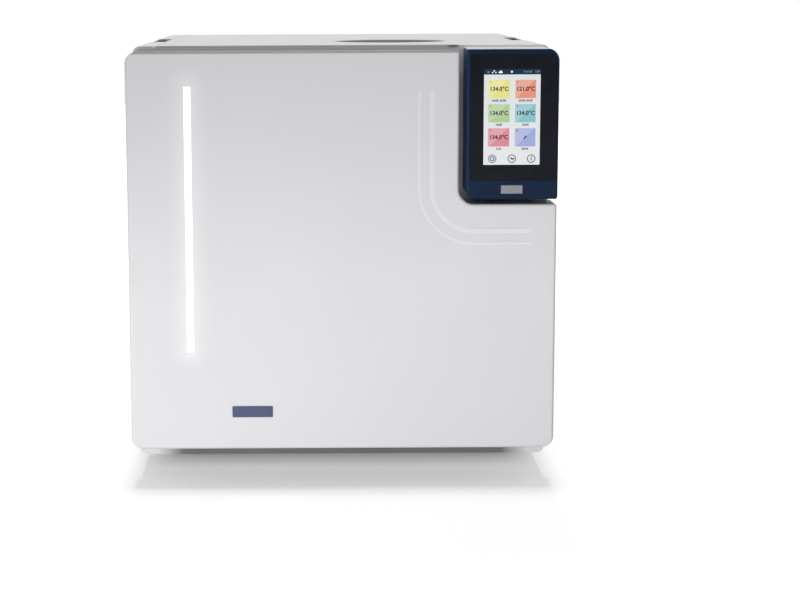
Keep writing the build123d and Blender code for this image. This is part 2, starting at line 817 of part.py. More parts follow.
# Control housing, which stands in the door's notch
housing_left = notch_left + 8.0
housing_right = width / 2
housing_bottom = notch_bottom + 5.6
housing_top = height - 2.5
housing_wall = 2.5
glass_left = housing_left + 4.0
glass_right = housing_right - 2.0
glass_bottom = housing_bottom + 21.4
glass_top = housing_top - 6.5
glass_front_y = front_y + 0.4
glass_thickness = 1.2
glass_gap = 0.2
window_left = glass_left + 13.0
window_right = glass_right - 15.0
window_bottom = glass_bottom + 14.0
window_top = glass_top - 14.0
flap_slot_left = housing_left + 38.4
flap_slot_right = flap_slot_left + 24.6
flap_slot_bottom = housing_bottom + 6.1
flap_slot_top = flap_slot_bottom + 10.4
flap_pin_y = front_y + 1.6
flap_pin_z = flap_slot_top - 1.5
flap_pin_radius = 0.5
flap_pin_reach = 2.0


def housing_outline(inset):
    """Corners and radii of the control housing, drawn in by inset."""
    corners = [
        (housing_left + inset, housing_bottom + inset),
        (housing_right - inset, housing_bottom + inset),
        (housing_right - inset, housing_top - inset),
        (housing_left + inset, housing_top - inset),
    ]
    radii = [11.5 - inset, max(3.0 - inset, 0.5), 14.0 - inset, max(3.0 - inset, 0.5)]
    return corners, radii


with BuildPart() as control_housing:
    plate_y(*housing_outline(0), (front_y, case_front_y))
    housing_edges = control_housing.faces().sort_by(Axis.Y)[0].edges()
    fillet(housing_edges, radius=2.0)
    plate_y(
        *housing_outline(housing_wall),
        (front_y + housing_wall + 0.3, case_front_y + 1),
        Mode.SUBTRACT,
    )
    plate_y(
        [
            (glass_left - glass_gap, glass_bottom - glass_gap),
            (glass_right + glass_gap, glass_bottom - glass_gap),
            (glass_right + glass_gap, glass_top + glass_gap),
            (glass_left - glass_gap, glass_top + glass_gap),
        ],
        [2.0, 2.0, 10.0, 2.0],
        (front_y - 1, glass_front_y + glass_thickness),
        Mode.SUBTRACT,
    )
    block(
        (window_left, window_right),
        (front_y, front_y + housing_wall + 2),
        (window_bottom, window_top),
        Mode.SUBTRACT,
    )
    block(
        (flap_slot_left, flap_slot_right),
        (front_y - 1, front_y + housing_wall + 2),
        (flap_slot_bottom, flap_slot_top),
        Mode.SUBTRACT,
    )
    rod_x(
        flap_pin_y,
        flap_pin_z,
        flap_pin_radius,
        (flap_slot_left - flap_pin_reach, flap_slot_right + flap_pin_reach),
        Mode.SUBTRACT,
    )
save(control_housing, "control_housing")

with BuildPart() as touch_glass:
    plate_y(
        [
            (glass_left, glass_bottom),
            (glass_right, glass_bottom),
            (glass_right, glass_top),
            (glass_left, glass_top),
        ],
        [1.8, 1.8, 9.8, 1.8],
        (glass_front_y, glass_front_y + glass_thickness),
    )
save(touch_glass, "touch_glass")

display_front_y = front_y + housing_wall + 0.6
display_back_y = display_front_y + 6.0
board_thickness = 1.6
board_back_y = display_back_y + board_thickness
with BuildPart() as display_module:
    block(
        (window_left - 5, window_right + 5),
        (display_front_y, display_back_y),
        (window_bottom - 5, window_top + 5),
    )
    block(
        (housing_left + 8, housing_right - 8),
        (display_back_y, board_back_y),
        (window_bottom - 12, window_top + 8),
    )
    for step_x, step_z, chip_size in ((10, 29, 16), (45, 54, 12), (23, 84, 20), (57, 14, 10)):
        chip_x = window_left + step_x
        chip_z = window_bottom + step_z
        block(
            (chip_x - chip_size / 2, chip_x + chip_size / 2),
            (board_back_y, board_back_y + 3),
            (chip_z - chip_size / 2, chip_z + chip_size / 2),
        )
save(display_module, "display_module")

# Data socket behind a small hinged flap
socket_x = (flap_slot_left + flap_slot_right) / 2
socket_z = (flap_slot_bottom + flap_slot_top) / 2 - 0.7
socket_half_width = 6.25
socket_half_height = 2.55
socket_front_y = front_y + housing_wall + 0.6
with BuildPart() as usb_socket:
    block(
        (flap_slot_left - 2, flap_slot_right + 2),
        (socket_front_y, socket_front_y + 14),
        (flap_slot_bottom - 2.7, flap_slot_top + 2.4),
    )
    block(
        (socket_x - socket_half_width, socket_x + socket_half_width),
        (socket_front_y - 1, socket_front_y + 11),
        (socket_z - socket_half_height, socket_z + socket_half_height),
        Mode.SUBTRACT,
    )
save(usb_socket, "usb_socket")

flap_barrel_radius = 1.15
flap_side_gap = 0.3
flap_half_length = (flap_slot_right - flap_slot_left) / 2 - flap_side_gap
with BuildPart() as usb_flap:
    flap_x_span = (socket_x - flap_half_length, socket_x + flap_half_length)
    block(
        flap_x_span,
        (flap_pin_y - flap_barrel_radius, flap_pin_y + 0.35),
        (flap_slot_bottom + 0.3, flap_pin_z),
    )
    rod_x(flap_pin_y, flap_pin_z, flap_barrel_radius, flap_x_span)
    rod_x(
        flap_pin_y,
        flap_pin_z,
        flap_pin_radius - 0.04,
        (flap_slot_left - flap_pin_reach + 0.3, flap_slot_right + flap_pin_reach - 0.3),
    )
    block(
        (socket_x + 6, socket_x + 9),
        (flap_pin_y - flap_barrel_radius - 1, flap_pin_y - flap_barrel_radius + 0.6),
        (flap_slot_bottom - 1, flap_slot_bottom + 1.4),
        Mode.SUBTRACT,
    )
save(usb_flap, "usb_flap")

# Water tanks on a shelf above the chamber
shelf_z = chamber_z + insulation_outer + 2.0
shelf_thickness = 2.0
tank_outer_x = cover_half_width - 3.0
with BuildPart() as tank_shelf:
    shelf_span = (shelf_z, shelf_z + shelf_thickness)
    block((-tank_outer_x - 3, tank_outer_x + 3), (bulkhead_back_y, rear_bulkhead_y[1]), shelf_span)
    block(
        (-bulkhead_half_width, bulkhead_half_width),
        rear_bulkhead_y,
        (foot_height + sheet, shelf_z + shelf_thickness),
    )
    rod_y(0, chamber_z, 40.0, (rear_bulkhead_y[0] - 1, rear_bulkhead_y[1] + 1), Mode.SUBTRACT)
save(tank_shelf, "tank_shelf")

tank_wall = 3.0
tank_bottom_z = shelf_z + shelf_thickness
tank_top_z = height - 16.0
tank_half_depth = 190.0
tank_middle_x = 4.0
neck_outer = 41.0
neck_bore = 38.4
neck_top_z = tank_top_z + 5.0
used_neck_x = -104.0
used_neck_bore = 14.0


def build_tank(x_span, opening_x, opening_y, outer, bore, opening_top_z):
    """A moulded tank with an open neck in its roof."""
    with BuildPart() as tank:
        block(x_span, (-tank_half_depth, tank_half_depth), (tank_bottom_z, tank_top_z))
        upright_edges = tank.edges().filter_by(Axis.Z)
        fillet(upright_edges, radius=8.0)
        rod_z(opening_x, opening_y, outer, (tank_top_z, opening_top_z))
        block(
            (x_span[0] + tank_wall, x_span[1] - tank_wall),
            (-tank_half_depth + tank_wall, tank_half_depth - tank_wall),
            (tank_bottom_z + tank_wall, tank_top_z - tank_wall),
            Mode.SUBTRACT,
        )
        rod_z(opening_x, opening_y, bore, (tank_top_z - tank_wall - 1, opening_top_z + 1), Mode.SUBTRACT)
    return tank


clean_tank = build_tank((tank_middle_x, tank_outer_x), fill_x, fill_y, neck_outer, neck_bore, neck_top_z)
save(clean_tank, "clean_water_tank")
used_tank = build_tank(
    (-tank_outer_x, -tank_middle_x),
    used_neck_x,
    0.0,
    used_neck_bore + tank_wall,
    used_neck_bore,
    neck_top_z,
)
save(used_tank, "used_water_tank")

bowl_radius = fill_radius - running_gap
bowl_floor_z = tank_top_z + running_gap
bowl_wall = 2.0
with BuildPart() as fill_bowl:
    rod_z(fill_x, fill_y, bowl_radius, (bowl_floor_z, height - 0.6))
    rod_z(fill_x, fill_y, bowl_radius - bowl_wall, (bowl_floor_z + bowl_wall, height + 1), Mode.SUBTRACT)
    rod_z(fill_x, fill_y, neck_outer + running_gap, (bowl_floor_z - 1, height), Mode.SUBTRACT)
save(fill_bowl, "fill_bowl")

cap_radius = 46.0
cap_bottom_z = neck_top_z
cap_top_z = cap_bottom_z + 4.2
with BuildPart() as tank_cap:
    rod_z(fill_x, fill_y, cap_radius, (cap_bottom_z, cap_top_z))
    rod_z(fill_x, fill_y, neck_bore - running_gap, (cap_bottom_z - 12, cap_bottom_z))
    rod_z(fill_x, fill_y, neck_bore - running_gap - 3, (cap_bottom_z - 13, cap_bottom_z - 2), Mode.SUBTRACT)
    block((fill_x - 32, fill_x + 32), (fill_y - 4, fill_y + 4), (cap_top_z, cap_top_z + 4.5))
    grip_edges = tank_cap.edges().filter_by(Axis.Z).group_by(Axis.Z)[-1]
    fillet(grip_edges, radius=3.0)
save(tank_cap, "tank_cap")

# Steam, water and vacuum parts round the chamber
pan_top_z = foot_height + sheet
generator_x = -inner_half_width + 24.7
generator_top_z = 300.0
generator_wall = 4.0
with BuildPart() as steam_generator:
    block((-inner_half_width, generator_x + 23.3), (-60, 120), (generator_top_z - 150, generator_top_z))
    upright_edges = steam_generator.edges().filter_by(Axis.Z)
    fillet(upright_edges, radius=6.0)
    block(
        (-inner_half_width + generator_wall, generator_x + 23.3 - generator_wall),
        (-60 + generator_wall, 120 - generator_wall),
        (generator_top_z - 150 + generator_wall, generator_top_z - generator_wall),
        Mode.SUBTRACT,
    )
    for y in (-20, 30, 80):
        rod_z(generator_x, y, 9.0, (generator_top_z, generator_top_z + 18))
save(steam_generator, "steam_generator")

water_pump_x = inner_half_width - 50.7
water_pump_top_z = pan_top_z + 48.0
with BuildPart() as water_pump:
    block((water_pump_x - 32, water_pump_x + 32), (-190, -130), (pan_top_z, water_pump_top_z))
    rod_y(water_pump_x, pan_top_z + 24, 22.0, (-130, -62))
save(water_pump, "water_pump")

vacuum_pump_x = inner_half_width - 44.7
vacuum_pump_z = pan_top_z + 44.0
vacuum_pump_back_y = 150.0
with BuildPart() as vacuum_pump:
    block((vacuum_pump_x - 36, vacuum_pump_x + 34), (-30, 60), (pan_top_z, pan_top_z + 82))
    rod_y(vacuum_pump_x, vacuum_pump_z, 32.0, (60, vacuum_pump_back_y))
    block((vacuum_pump_x - 18, vacuum_pump_x + 18), (70, 140), (pan_top_z, pan_top_z + 20))
save(vacuum_pump, "vacuum_pump")

valve_x = -inner_half_width + 38.7
valve_block_top_z = pan_top_z + 38.0
valve_block_back_y = 150.0
with BuildPart() as valve_block:
    block((valve_x - 28, valve_x + 42), (0, valve_block_back_y), (pan_top_z, valve_block_top_z))
    for y in (22, 57, 92, 127):
        rod_z(valve_x, y, 13.0, (valve_block_top_z, valve_block_top_z + 40))
save(valve_block, "valve_block")

board_x = inner_half_width - 2.0
with BuildPart() as power_board:
    block((board_x, inner_half_width), (-100, 140), (150, 310))
    for y, z, reach, size in ((-70, 190, 34, 40), (-10, 250, 22, 30), (50, 200, 30, 44), (105, 270, 18, 34)):
        block(
            (board_x - reach, board_x),
            (y - size / 2, y + size / 2),
            (z - size / 2, z + size / 2),
        )
save(power_board, "power_board")

fin_count = 24
fin_thickness = 1.5
condenser_half_width = 115.0
condenser_y = (rear_bulkhead_y[1], rear_bulkhead_y[1] + 20)
with BuildPart() as condenser:
    fins_left_x = fan_x - condenser_half_width + 5
    fin_pitch = (2 * condenser_half_width - 10) / fin_count
    for index in range(fin_count):
        fin_x = fins_left_x + index * fin_pitch
        block((fin_x, fin_x + fin_thickness), condenser_y, (fan_z - 95, fan_z + 80))
    for row in range(5):
        tube_z = fan_z - 80 + row * 36
        block(
            (fan_x - condenser_half_width + 1, fan_x + condenser_half_width + 1),
            (condenser_y[0] + 6, condenser_y[0] + 14),
            (tube_z - 4, tube_z + 4),
        )
    for end_x in (fan_x - condenser_half_width - 2, fan_x + condenser_half_width - 2):
        block((end_x, end_x + 6), (condenser_y[0] + 4, condenser_y[0] + 16), (fan_z - 88, fan_z + 72))
save(condenser, "condenser")

valve_body_x = -60.0
valve_body_z = 300.0
valve_hexagon_y = rear_bulkhead_y[1] + 9.0
valve_cap_y = rear_bulkhead_y[1] + 27.0
with BuildPart() as safety_valve:
    rod_y(valve_body_x, valve_body_z, 7.0, (rear_bulkhead_y[1], valve_cap_y))
    with BuildSketch(plane_at_y(valve_hexagon_y + 14)) as hexagon:
        with Locations((valve_body_x, valve_body_z)):
            RegularPolygon(radius=12, side_count=6)
    extrude(hexagon.sketch, amount=14)
    rod_y(valve_body_x, valve_body_z, 10.0, (valve_cap_y, valve_cap_y + 14))
save(safety_valve, "safety_valve")

pipe_radius = 3.5
with BuildPart() as pipework:
    rod_y(generator_x, generator_top_z - 50, pipe_radius, (120, rear_bulkhead_y[0]))
    rod_y(valve_x + 8, pan_top_z + 20, pipe_radius, (valve_block_back_y, rear_bulkhead_y[0]))
    rod_y(vacuum_pump_x, vacuum_pump_z, pipe_radius, (vacuum_pump_back_y, rear_bulkhead_y[0]))
    rod_z(water_pump_x + 24, -160, pipe_radius, (water_pump_top_z, shelf_z))
save(pipework, "pipework")

# Cooling fan at the rear
fan_half_size = 59.5
fan_back_y = rear_front_y
fan_front_y = fan_back_y - 27.7
fan_hub_radius = 20.0
fan_shaft_radius = 2.95
fan_shaft_bore = 3.0
hub_front_y = fan_back_y - 8.0
with BuildPart() as fan_housing:
    block(
        (fan_x - fan_half_size, fan_x + fan_half_size),
        (fan_front_y, fan_back_y),
        (fan_z - fan_half_size, fan_z + fan_half_size),
    )
    rod_y(fan_x, fan_z, fan_bore, (fan_front_y - 1, fan_back_y + 1), Mode.SUBTRACT)
    strut_span = (hub_front_y + 3, fan_back_y)
    block((fan_x - fan_bore - 1, fan_x + fan_bore + 1), strut_span, (fan_z - 3, fan_z + 3))
    block((fan_x - 3, fan_x + 3), strut_span, (fan_z - fan_bore - 1, fan_z + fan_bore + 1))
    rod_y(fan_x, fan_z, fan_hub_radius, (hub_front_y, fan_back_y))
    rod_y(fan_x, fan_z, fan_shaft_bore, (hub_front_y - 1, fan_back_y + 1), Mode.SUBTRACT)
save(fan_housing, "fan_housing")

blade_count = 7
blade_reach = 36.0
blade_angle = 38.0
with BuildPart() as fan_rotor:
    rod_y(fan_x, fan_z, fan_hub_radius, (fan_front_y + 2, hub_front_y - 0.5))
    rod_y(fan_x, fan_z, fan_shaft_radius, (hub_front_y - 0.5, fan_back_y - 1))
    rotor_middle_y = (fan_front_y + hub_front_y) / 2
    for index in range(blade_count):
        turn = 360 * index / blade_count
        hub_place = Location((fan_x, rotor_middle_y, fan_z), (0, turn, 0))
        with Locations(hub_place * Location((37.0, 0, 0), (blade_angle, 0, 0))):
            Box(blade_reach, 1.8, 18.0)
save(fan_rotor, "fan_rotor")

guard_wire = 1.5
with BuildPart() as fan_guard:
    for radius in (18.0, 36.0, 54.0):
        with BuildSketch(plane_at_y(case_back_y + 3)) as ring:
            with Locations((fan_x, fan_z)):
                Circle(radius + guard_wire)
                Circle(radius - guard_wire, mode=Mode.SUBTRACT)
        extrude(ring.sketch, amount=3)
    for turn in (45.0, 135.0):
        with BuildSketch(plane_at_y(case_back_y + 3)) as bar:
            with Locations(Location((fan_x, fan_z), turn)):
                Rectangle(144, 2 * guard_wire)
        extrude(bar.sketch, amount=3)
save(fan_guard, "fan_guard")

# Mains module: an inlet socket and the housing of the rocker switch
inlet_half_width = 12.5
inlet_half_height = 8.5
inlet_front_y = case_back_y - 24.0
inlet_floor_y = case_back_y - 18.0
contact_length = 15.0
bezel_thickness = 2.5
switch_pivot_y = case_back_y + 0.5
switch_pivot_radius = 1.5
rocker_half_width = 8.0
rocker_half_height = 10.0
rocker_half_depth = 4.0
rocker_rest_tilt = 7.0
with BuildPart() as mains_module:
    block(
        (switch_x - 16, inlet_x + 22),
        (case_back_y, case_back_y + bezel_thickness),
        (inlet_z - 17, inlet_z + 17),
    )
    for middle_x, body_front_y, (reach_x, reach_z) in (
        (inlet_x, inlet_front_y, inlet_body_half),
        (switch_x, inlet_floor_y, switch_body_half),
    ):
        block(
            (middle_x - reach_x, middle_x + reach_x),
            (body_front_y, case_back_y),
            (inlet_z - reach_z, inlet_z + reach_z),
        )
    block(
        (inlet_x - inlet_half_width, inlet_x + inlet_half_width),
        (inlet_floor_y, case_back_y + 4),
        (inlet_z - inlet_half_height, inlet_z + inlet_half_height),
        Mode.SUBTRACT,
    )
    for offset_x, offset_z in ((-7, -2), (0, 2), (7, -2)):
        block(
            (inlet_x + offset_x - 1, inlet_x + offset_x + 1),
            (inlet_floor_y, inlet_floor_y + contact_length),
            (inlet_z + offset_z - 2, inlet_z + offset_z + 2),
        )
    block(
        (switch_x - rocker_half_width - running_gap, switch_x + rocker_half_width + running_gap),
        (inlet_floor_y + 4, case_back_y + 4),
        (switch_z - rocker_half_height - 1.2, switch_z + rocker_half_height + 1.2),
        Mode.SUBTRACT,
    )
    rod_x(
        switch_pivot_y,
        switch_z,
        switch_pivot_radius + pin_clearance,
        (switch_x - rocker_half_width - 2, switch_x + rocker_half_width + 2),
        Mode.SUBTRACT,
    )
save(mains_module, "mains_module")

with BuildPart() as power_switch:
    with Locations(Location((switch_x, switch_pivot_y, switch_z), (-rocker_rest_tilt, 0, 0))):
        Box(2 * rocker_half_width, 2 * rocker_half_depth, 2 * rocker_half_height)
    rod_x(
        switch_pivot_y,
        switch_z,
        switch_pivot_radius,
        (switch_x - rocker_half_width - 1.7, switch_x + rocker_half_width + 1.7),
    )
save(power_switch, "power_switch")

# Hose spigots at the rear
spigot_radius = 5.0
spigot_bore = 3.0
spigot_inner_length = 10.0
with BuildPart() as rear_spigots:
    for x, z in spigot_places:
        rod_y(x, z, spigot_body_radius, (case_back_y - spigot_inner_length, case_back_y))
        rod_y(x, z, spigot_body_radius + 3, (case_back_y, case_back_y + 2))
        rod_y(x, z, spigot_radius, (case_back_y + 2, back_y))
        rod_y(x, z, spigot_bore, (case_back_y - spigot_inner_length - 1, back_y + 1), Mode.SUBTRACT)
save(rear_spigots, "rear_spigots")

# Air filter and drain ports behind the door
filter_front_y = fascia_front_y - 3.0
filter_back_y = fascia_front_y + 40.0
filter_rib_count = 12
filter_rib_radius = 1.5
filter_rib_length = 23.0
with BuildPart() as air_filter:
    rod_y(filter_x, filter_z, filter_radius - filter_rib_radius, (filter_front_y, filter_back_y))
    rib_circle = filter_radius - filter_rib_radius - 0.2
    for index in range(filter_rib_count):
        angle = math.radians(360 * index / filter_rib_count)
        rib_x = filter_x + rib_circle * math.cos(angle)
        rib_z = filter_z + rib_circle * math.sin(angle)
        rod_y(rib_x, rib_z, filter_rib_radius, (filter_front_y, filter_front_y + filter_rib_length))
    for side in (-1, 1):
        block(
            sorted((filter_x + side * 5, filter_x + side * 14)),
            (filter_front_y - 1, filter_front_y + 8),
            (filter_z - 14, filter_z + 14),
            Mode.SUBTRACT,
        )
save(air_filter, "air_filter")

port_front_y = fascia_front_y - 5.0
port_back_y = fascia_front_y + 35.0
port_bore_depth = 30.0
with BuildPart() as drain_ports:
    for z in port_heights:
        rod_y(port_x, z, port_radius, (port_front_y, port_back_y))
        rod_y(port_x, z, port_radius + 3, (bulkhead_back_y, bulkhead_back_y + 5))
        rod_y(port_x, z, port_bore, (port_front_y - 1, port_front_y + port_bore_depth), Mode.SUBTRACT)
save(drain_ports, "drain_ports")
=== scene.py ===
# %% [markdown]
# This lesson dresses a tabletop steam steriliser for its portrait. The solids arrive as a fixed
# frame from construction, so nothing here moves or reshapes them. What is added is their finishes,
# the printed layers of the lit screen, and the light. Lengths are in metres, +Z is up and the door
# faces -Y. Only the screen, with its small marks, is laid out in millimetres.

# %% Load the frame
import math

import bmesh
import bpy
from mathutils import Matrix, Vector


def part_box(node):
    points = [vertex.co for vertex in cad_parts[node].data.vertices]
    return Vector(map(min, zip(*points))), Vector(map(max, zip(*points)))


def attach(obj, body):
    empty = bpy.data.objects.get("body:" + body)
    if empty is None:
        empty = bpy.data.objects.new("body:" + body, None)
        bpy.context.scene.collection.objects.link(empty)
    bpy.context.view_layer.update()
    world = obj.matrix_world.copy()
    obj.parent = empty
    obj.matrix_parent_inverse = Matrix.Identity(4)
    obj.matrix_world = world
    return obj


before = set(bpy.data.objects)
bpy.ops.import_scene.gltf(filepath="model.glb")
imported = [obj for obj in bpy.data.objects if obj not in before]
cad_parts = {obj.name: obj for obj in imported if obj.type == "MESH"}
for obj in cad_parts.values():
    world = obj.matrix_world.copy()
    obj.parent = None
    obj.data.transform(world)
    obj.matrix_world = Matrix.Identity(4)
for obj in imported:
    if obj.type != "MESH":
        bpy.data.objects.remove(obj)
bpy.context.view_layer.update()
MM = 0.001

# %% [markdown]
# A product photograph is taken with a long lens, so that the sides of the box hardly narrow. The
# camera could be turned by eye, but its place, tilt and focal length were worked out from the
# corners in the photograph. The picture was cropped off centre, which a small lens shift repeats.

# %% Camera
camera_place = Vector((-0.03358, -2.41009, 0.56384))
camera_tilt = 0.16208
camera_roll = -0.00483
image_width = 800
focal_pixels = 1903.98
centre_column = 312.449
sensor_width = 36.0
far_clip = 30.0

camera_data = bpy.data.cameras.new("portrait_camera")
camera_data.sensor_width = sensor_width
camera_data.lens = focal_pixels * sensor_width / image_width
camera_data.shift_x = (image_width / 2 - centre_column) / image_width
camera_data.clip_end = far_clip
camera = bpy.data.objects.new("portrait_camera", camera_data)
bpy.context.collection.objects.link(camera)

forward = Vector((0.0, math.cos(camera_tilt), -math.sin(camera_tilt)))
level_right = Vector((1.0, 0.0, 0.0))
level_up = level_right.cross(forward)
right = math.cos(camera_roll) * level_right + math.sin(camera_roll) * level_up
up = math.cos(camera_roll) * level_up - math.sin(camera_roll) * level_right
turn = Matrix((right, up, -forward)).transposed().to_4x4()
camera.matrix_world = Matrix.Translation(camera_place) @ turn
bpy.context.scene.camera = camera
print("lens", round(camera_data.lens, 2), "shift", round(camera_data.shift_x, 4))

# %% [markdown]
# A finish in Blender is a tree of nodes. They could be placed and linked by hand in the shader
# editor; here one function adds a node of any kind, sets it up, and links or fills its sockets.

# %% Nodes and links
def connect(tree, value, slot):
    """Links a wire to an input socket, or gives the socket a plain value."""
    if isinstance(value, Wire):
        tree.links.new(value.socket, slot)
    elif slot.type == "RGBA":
        slot.default_value = (*value, 1.0)
    else:
        slot.default_value = value


def add_node(tree, kind, settings, sockets, output=0):
    """Adds a node: its settings first, then the values or links of its sockets."""
    made = tree.nodes.new(kind)
    for key, value in settings.items():
        setattr(made, key, value)
    for key, value in sockets.items():
        connect(tree, value, made.inputs[key])
    return Wire(tree, made.outputs[output])


print("node maker ready")

# %% [markdown]
# Patterns in a finish are sums: a mask is a height compared with a limit, or one minus another
# mask. Chains of Math nodes are hard to follow, and plain arithmetic is easy to read. So a small
# class wraps one output socket, and an expression such as `1 - mask * 0.3` adds its own nodes.

# %% Shader arithmetic
class Wire:
    """One output socket that can be added to, multiplied and compared."""

    def __init__(self, tree, socket):
        self.tree = tree
        self.socket = socket

    def math(self, operation, first, second):
        settings = {"operation": operation}
        return add_node(self.tree, "ShaderNodeMath", settings, {0: first, 1: second})

    def __add__(self, other):
        return self.math("ADD", self, other)

    def __radd__(self, other):
        return self.math("ADD", other, self)

    def __sub__(self, other):
        return self.math("SUBTRACT", self, other)

    def __rsub__(self, other):
        return self.math("SUBTRACT", other, self)

    def __mul__(self, other):
        return self.math("MULTIPLY", self, other)

    def __rmul__(self, other):
        return self.math("MULTIPLY", other, self)

    def power(self, other):
        return self.math("POWER", self, other)

    def magnitude(self):
        return self.math("ABSOLUTE", self, 0.0)

    def at_least(self, other):
        return self.math("MAXIMUM", self, other)

    def at_most(self, other):
        return self.math("MINIMUM", self, other)

    def above(self, other):
        return self.math("GREATER_THAN", self, other)

    def below(self, other):
        return self.math("LESS_THAN", self, other)


print("shader arithmetic ready")

# %% [markdown]
# Each finish is one principled shader, fed by patterns that read the object's own coordinates.
# Picture files would need unwrapping; these patterns need none, and they stay put when a piece
# moves. The workbench keeps a material, its shader and the patterns used most in one place.

# %% A workbench for one finish
class Finish:
    """A material under construction. Constants are named as its sockets, _ for each space."""

    def __init__(self, name, roughness, metallic=0.0, **constants):
        self.material = bpy.data.materials.new(name)
        self.material.use_nodes = True
        self.tree = self.material.node_tree
        self.shader = self.tree.nodes["Principled BSDF"]
        constants.update(Roughness=roughness, Metallic=metallic)
        for socket_name, value in constants.items():
            self.shader.inputs[socket_name.replace("_", " ")].default_value = value
        self.place = self.node("ShaderNodeTexCoord", {}, {}, "Object")

    def node(self, kind, settings, sockets, output=0):
        return add_node(self.tree, kind, settings, sockets, output)

    def feed(self, socket_name, value):
        self.tree.links.new(value.socket, self.shader.inputs[socket_name])

    def axes(self):
        """X, Y and Z of the surface point, in metres."""
        first = self.node("ShaderNodeSeparateXYZ", {}, {0: self.place})
        return [Wire(self.tree, output) for output in first.socket.node.outputs]

    def noise(self, scale, detail, vector=None):
        sockets = {"Vector": vector or self.place, "Scale": scale, "Detail": detail}
        return self.node("ShaderNodeTexNoise", {}, sockets)

    def ramp(self, value, low, high, out_low=0.0, out_high=1.0):
        """Maps value from low..high to out_low..out_high, held at both ends."""
        sockets = {0: value, 1: low, 2: high, 3: out_low, 4: out_high}
        return self.node("ShaderNodeMapRange", {"clamp": True}, sockets)

    def patches(self, scale, detail, out_low=0.0, out_high=1.0, spread=0.2):
        """Noise as patches that run from out_low to out_high; less spread, sharper edges."""
        return self.ramp(self.noise(scale, detail), 0.5 - spread, 0.5 + spread, out_low, out_high)

    def mix(self, factor, first, second):
        """Blends two colours, each a wire or an RGB triple."""
        sockets = {0: factor, 6: first, 7: second}
        return self.node("ShaderNodeMix", {"data_type": "RGBA"}, sockets, 2)

    def bump(self, height, strength, distance):
        sockets = {"Height": height, "Strength": strength, "Distance": distance}
        self.feed("Normal", self.node("ShaderNodeBump", {}, sockets))


print("workbench ready")

# %% [markdown]
# The outside is two plastics with a very fine texture from the mould. A strong colour would be
# easy; what makes it read as plastic is the faint unevenness of its gloss, a bump far smaller
# than a millimetre, and hand marks that only show where light grazes the surface.

# %% How moulded plastic looks
drift_scale = 3.0
hand_mark_scale = 22.0
speck_scale = 260.0
mould_texture_scale = 1400.0


def shade(colour, share):
    """The same colour at a share of its brightness."""
    return tuple(part * share for part in colour)


def moulded(name, colour, roughness, grain=0.00006, uneven=0.05, **constants):
    """Plastic with a mould texture; colour and gloss wander a little over the surface."""
    made = Finish(name, roughness, **constants)
    drift = made.patches(drift_scale, 2.0)
    specks = made.patches(speck_scale, 2.0, 0.0, 0.35, spread=0.15)
    made.feed("Base Color", made.mix(drift * 0.6 + specks * 0.4, colour, shade(colour, 1.0 - uneven)))
    gloss = made.patches(hand_mark_scale, 4.0, roughness - 0.05, roughness + 0.07)
    made.feed("Roughness", gloss)
    made.bump(made.noise(mould_texture_scale, 2.0), 0.35, grain)
    return made


print("moulded plastic ready")

# %% [markdown]
# The case, the dark front behind the door and the small covers are all mouldings. They differ in
# colour and gloss alone, so each is one call. Their greys were set by comparing renders with the
# photograph.

# %% Moulded finishes
case_colour = (0.70, 0.70, 0.715)
fascia_colour = (0.155, 0.155, 0.175)

case_finish = moulded("case_moulding", case_colour, 0.42)
fascia_finish = moulded("dark_fascia", fascia_colour, 0.55)
grip_finish = moulded("grip_cup", fascia_colour, 0.6)
bowl_finish = moulded("fill_bowl", (0.47, 0.47, 0.48), 0.5)
liner_finish = moulded("door_lining", (0.30, 0.305, 0.32), 0.5)
black_plastic = moulded("black_plastic", (0.022, 0.022, 0.025), 0.45)
filter_plastic = moulded("filter_housing", (0.74, 0.76, 0.79), 0.4)
flap_finish = moulded("port_cover", (0.235, 0.26, 0.29), 0.45)
badge_finish = moulded("blank_badge", (0.035, 0.05, 0.13), 0.35)
print("case", case_colour, "fascia", fascia_colour)

# %% [markdown]
# The front frame is one moulding with painted light and shade on it. Its face under the door is
# painted dark grey, painted shade of the recess under the door. The lip behind the door's top edge
# is painted grey where it turns to the top, painted shade of the gap above the door, and pale on its
# face, painted light against that shade; the frame's top band is painted lighter against its shade
# as well. The colours meet along straight lines, so masks from the coordinates draw them without
# any seam in the mesh. The dark fascia carries the same painted lip on its upper band.

# %% Frame with painted light and shade
# Painted shade: dark grey for the frame's face under the door.
plinth_shade_colour = (0.11, 0.11, 0.115)
plinth_top = 0.058
plinth_half_width = 0.185
plinth_fade = 0.03
# Painted light: the frame's top band is made paler against the shade that falls on it.
rail_light_colour = (0.92, 0.92, 0.94)
rail_bottom = 0.47
# Painted light on the lip's face and painted shade of the gap where it turns to the top.
lip_face_light = (0.95, 0.95, 0.96)
lip_top_shade = (0.24, 0.24, 0.245)
lip_turn_low, lip_turn_high = 0.4960, 0.4985
lip_left, lip_right = -0.209, 0.130
lip_fade = 0.005
fascia_band_bottom = 0.478


def lip_tone(finish, height):
    """Painted light on the lip's face, painted shade where it turns to the top."""
    return finish.mix(finish.ramp(height, lip_turn_low, lip_turn_high), lip_face_light, lip_top_shade)


frame_finish = moulded("frame_moulding", case_colour, 0.42)
x, y, z = frame_finish.axes()
plinth_end = plinth_half_width + plinth_fade
# Painted shade on the frame's face under the door, fading out towards both ends.
plinth = frame_finish.ramp(x.magnitude(), plinth_half_width, plinth_end, 1.0, 0.0) * z.below(plinth_top)
rail = z.above(rail_bottom)
lip = frame_finish.ramp(x, lip_left - lip_fade, lip_left)
lip = lip * frame_finish.ramp(x, lip_right, lip_right + lip_fade, 1.0, 0.0) * rail
pale = frame_finish.mix(frame_finish.patches(drift_scale, 2.0), case_colour, shade(case_colour, 0.96))
# Painted light on the frame's top band.
pale = frame_finish.mix(rail * 0.9, pale, rail_light_colour)
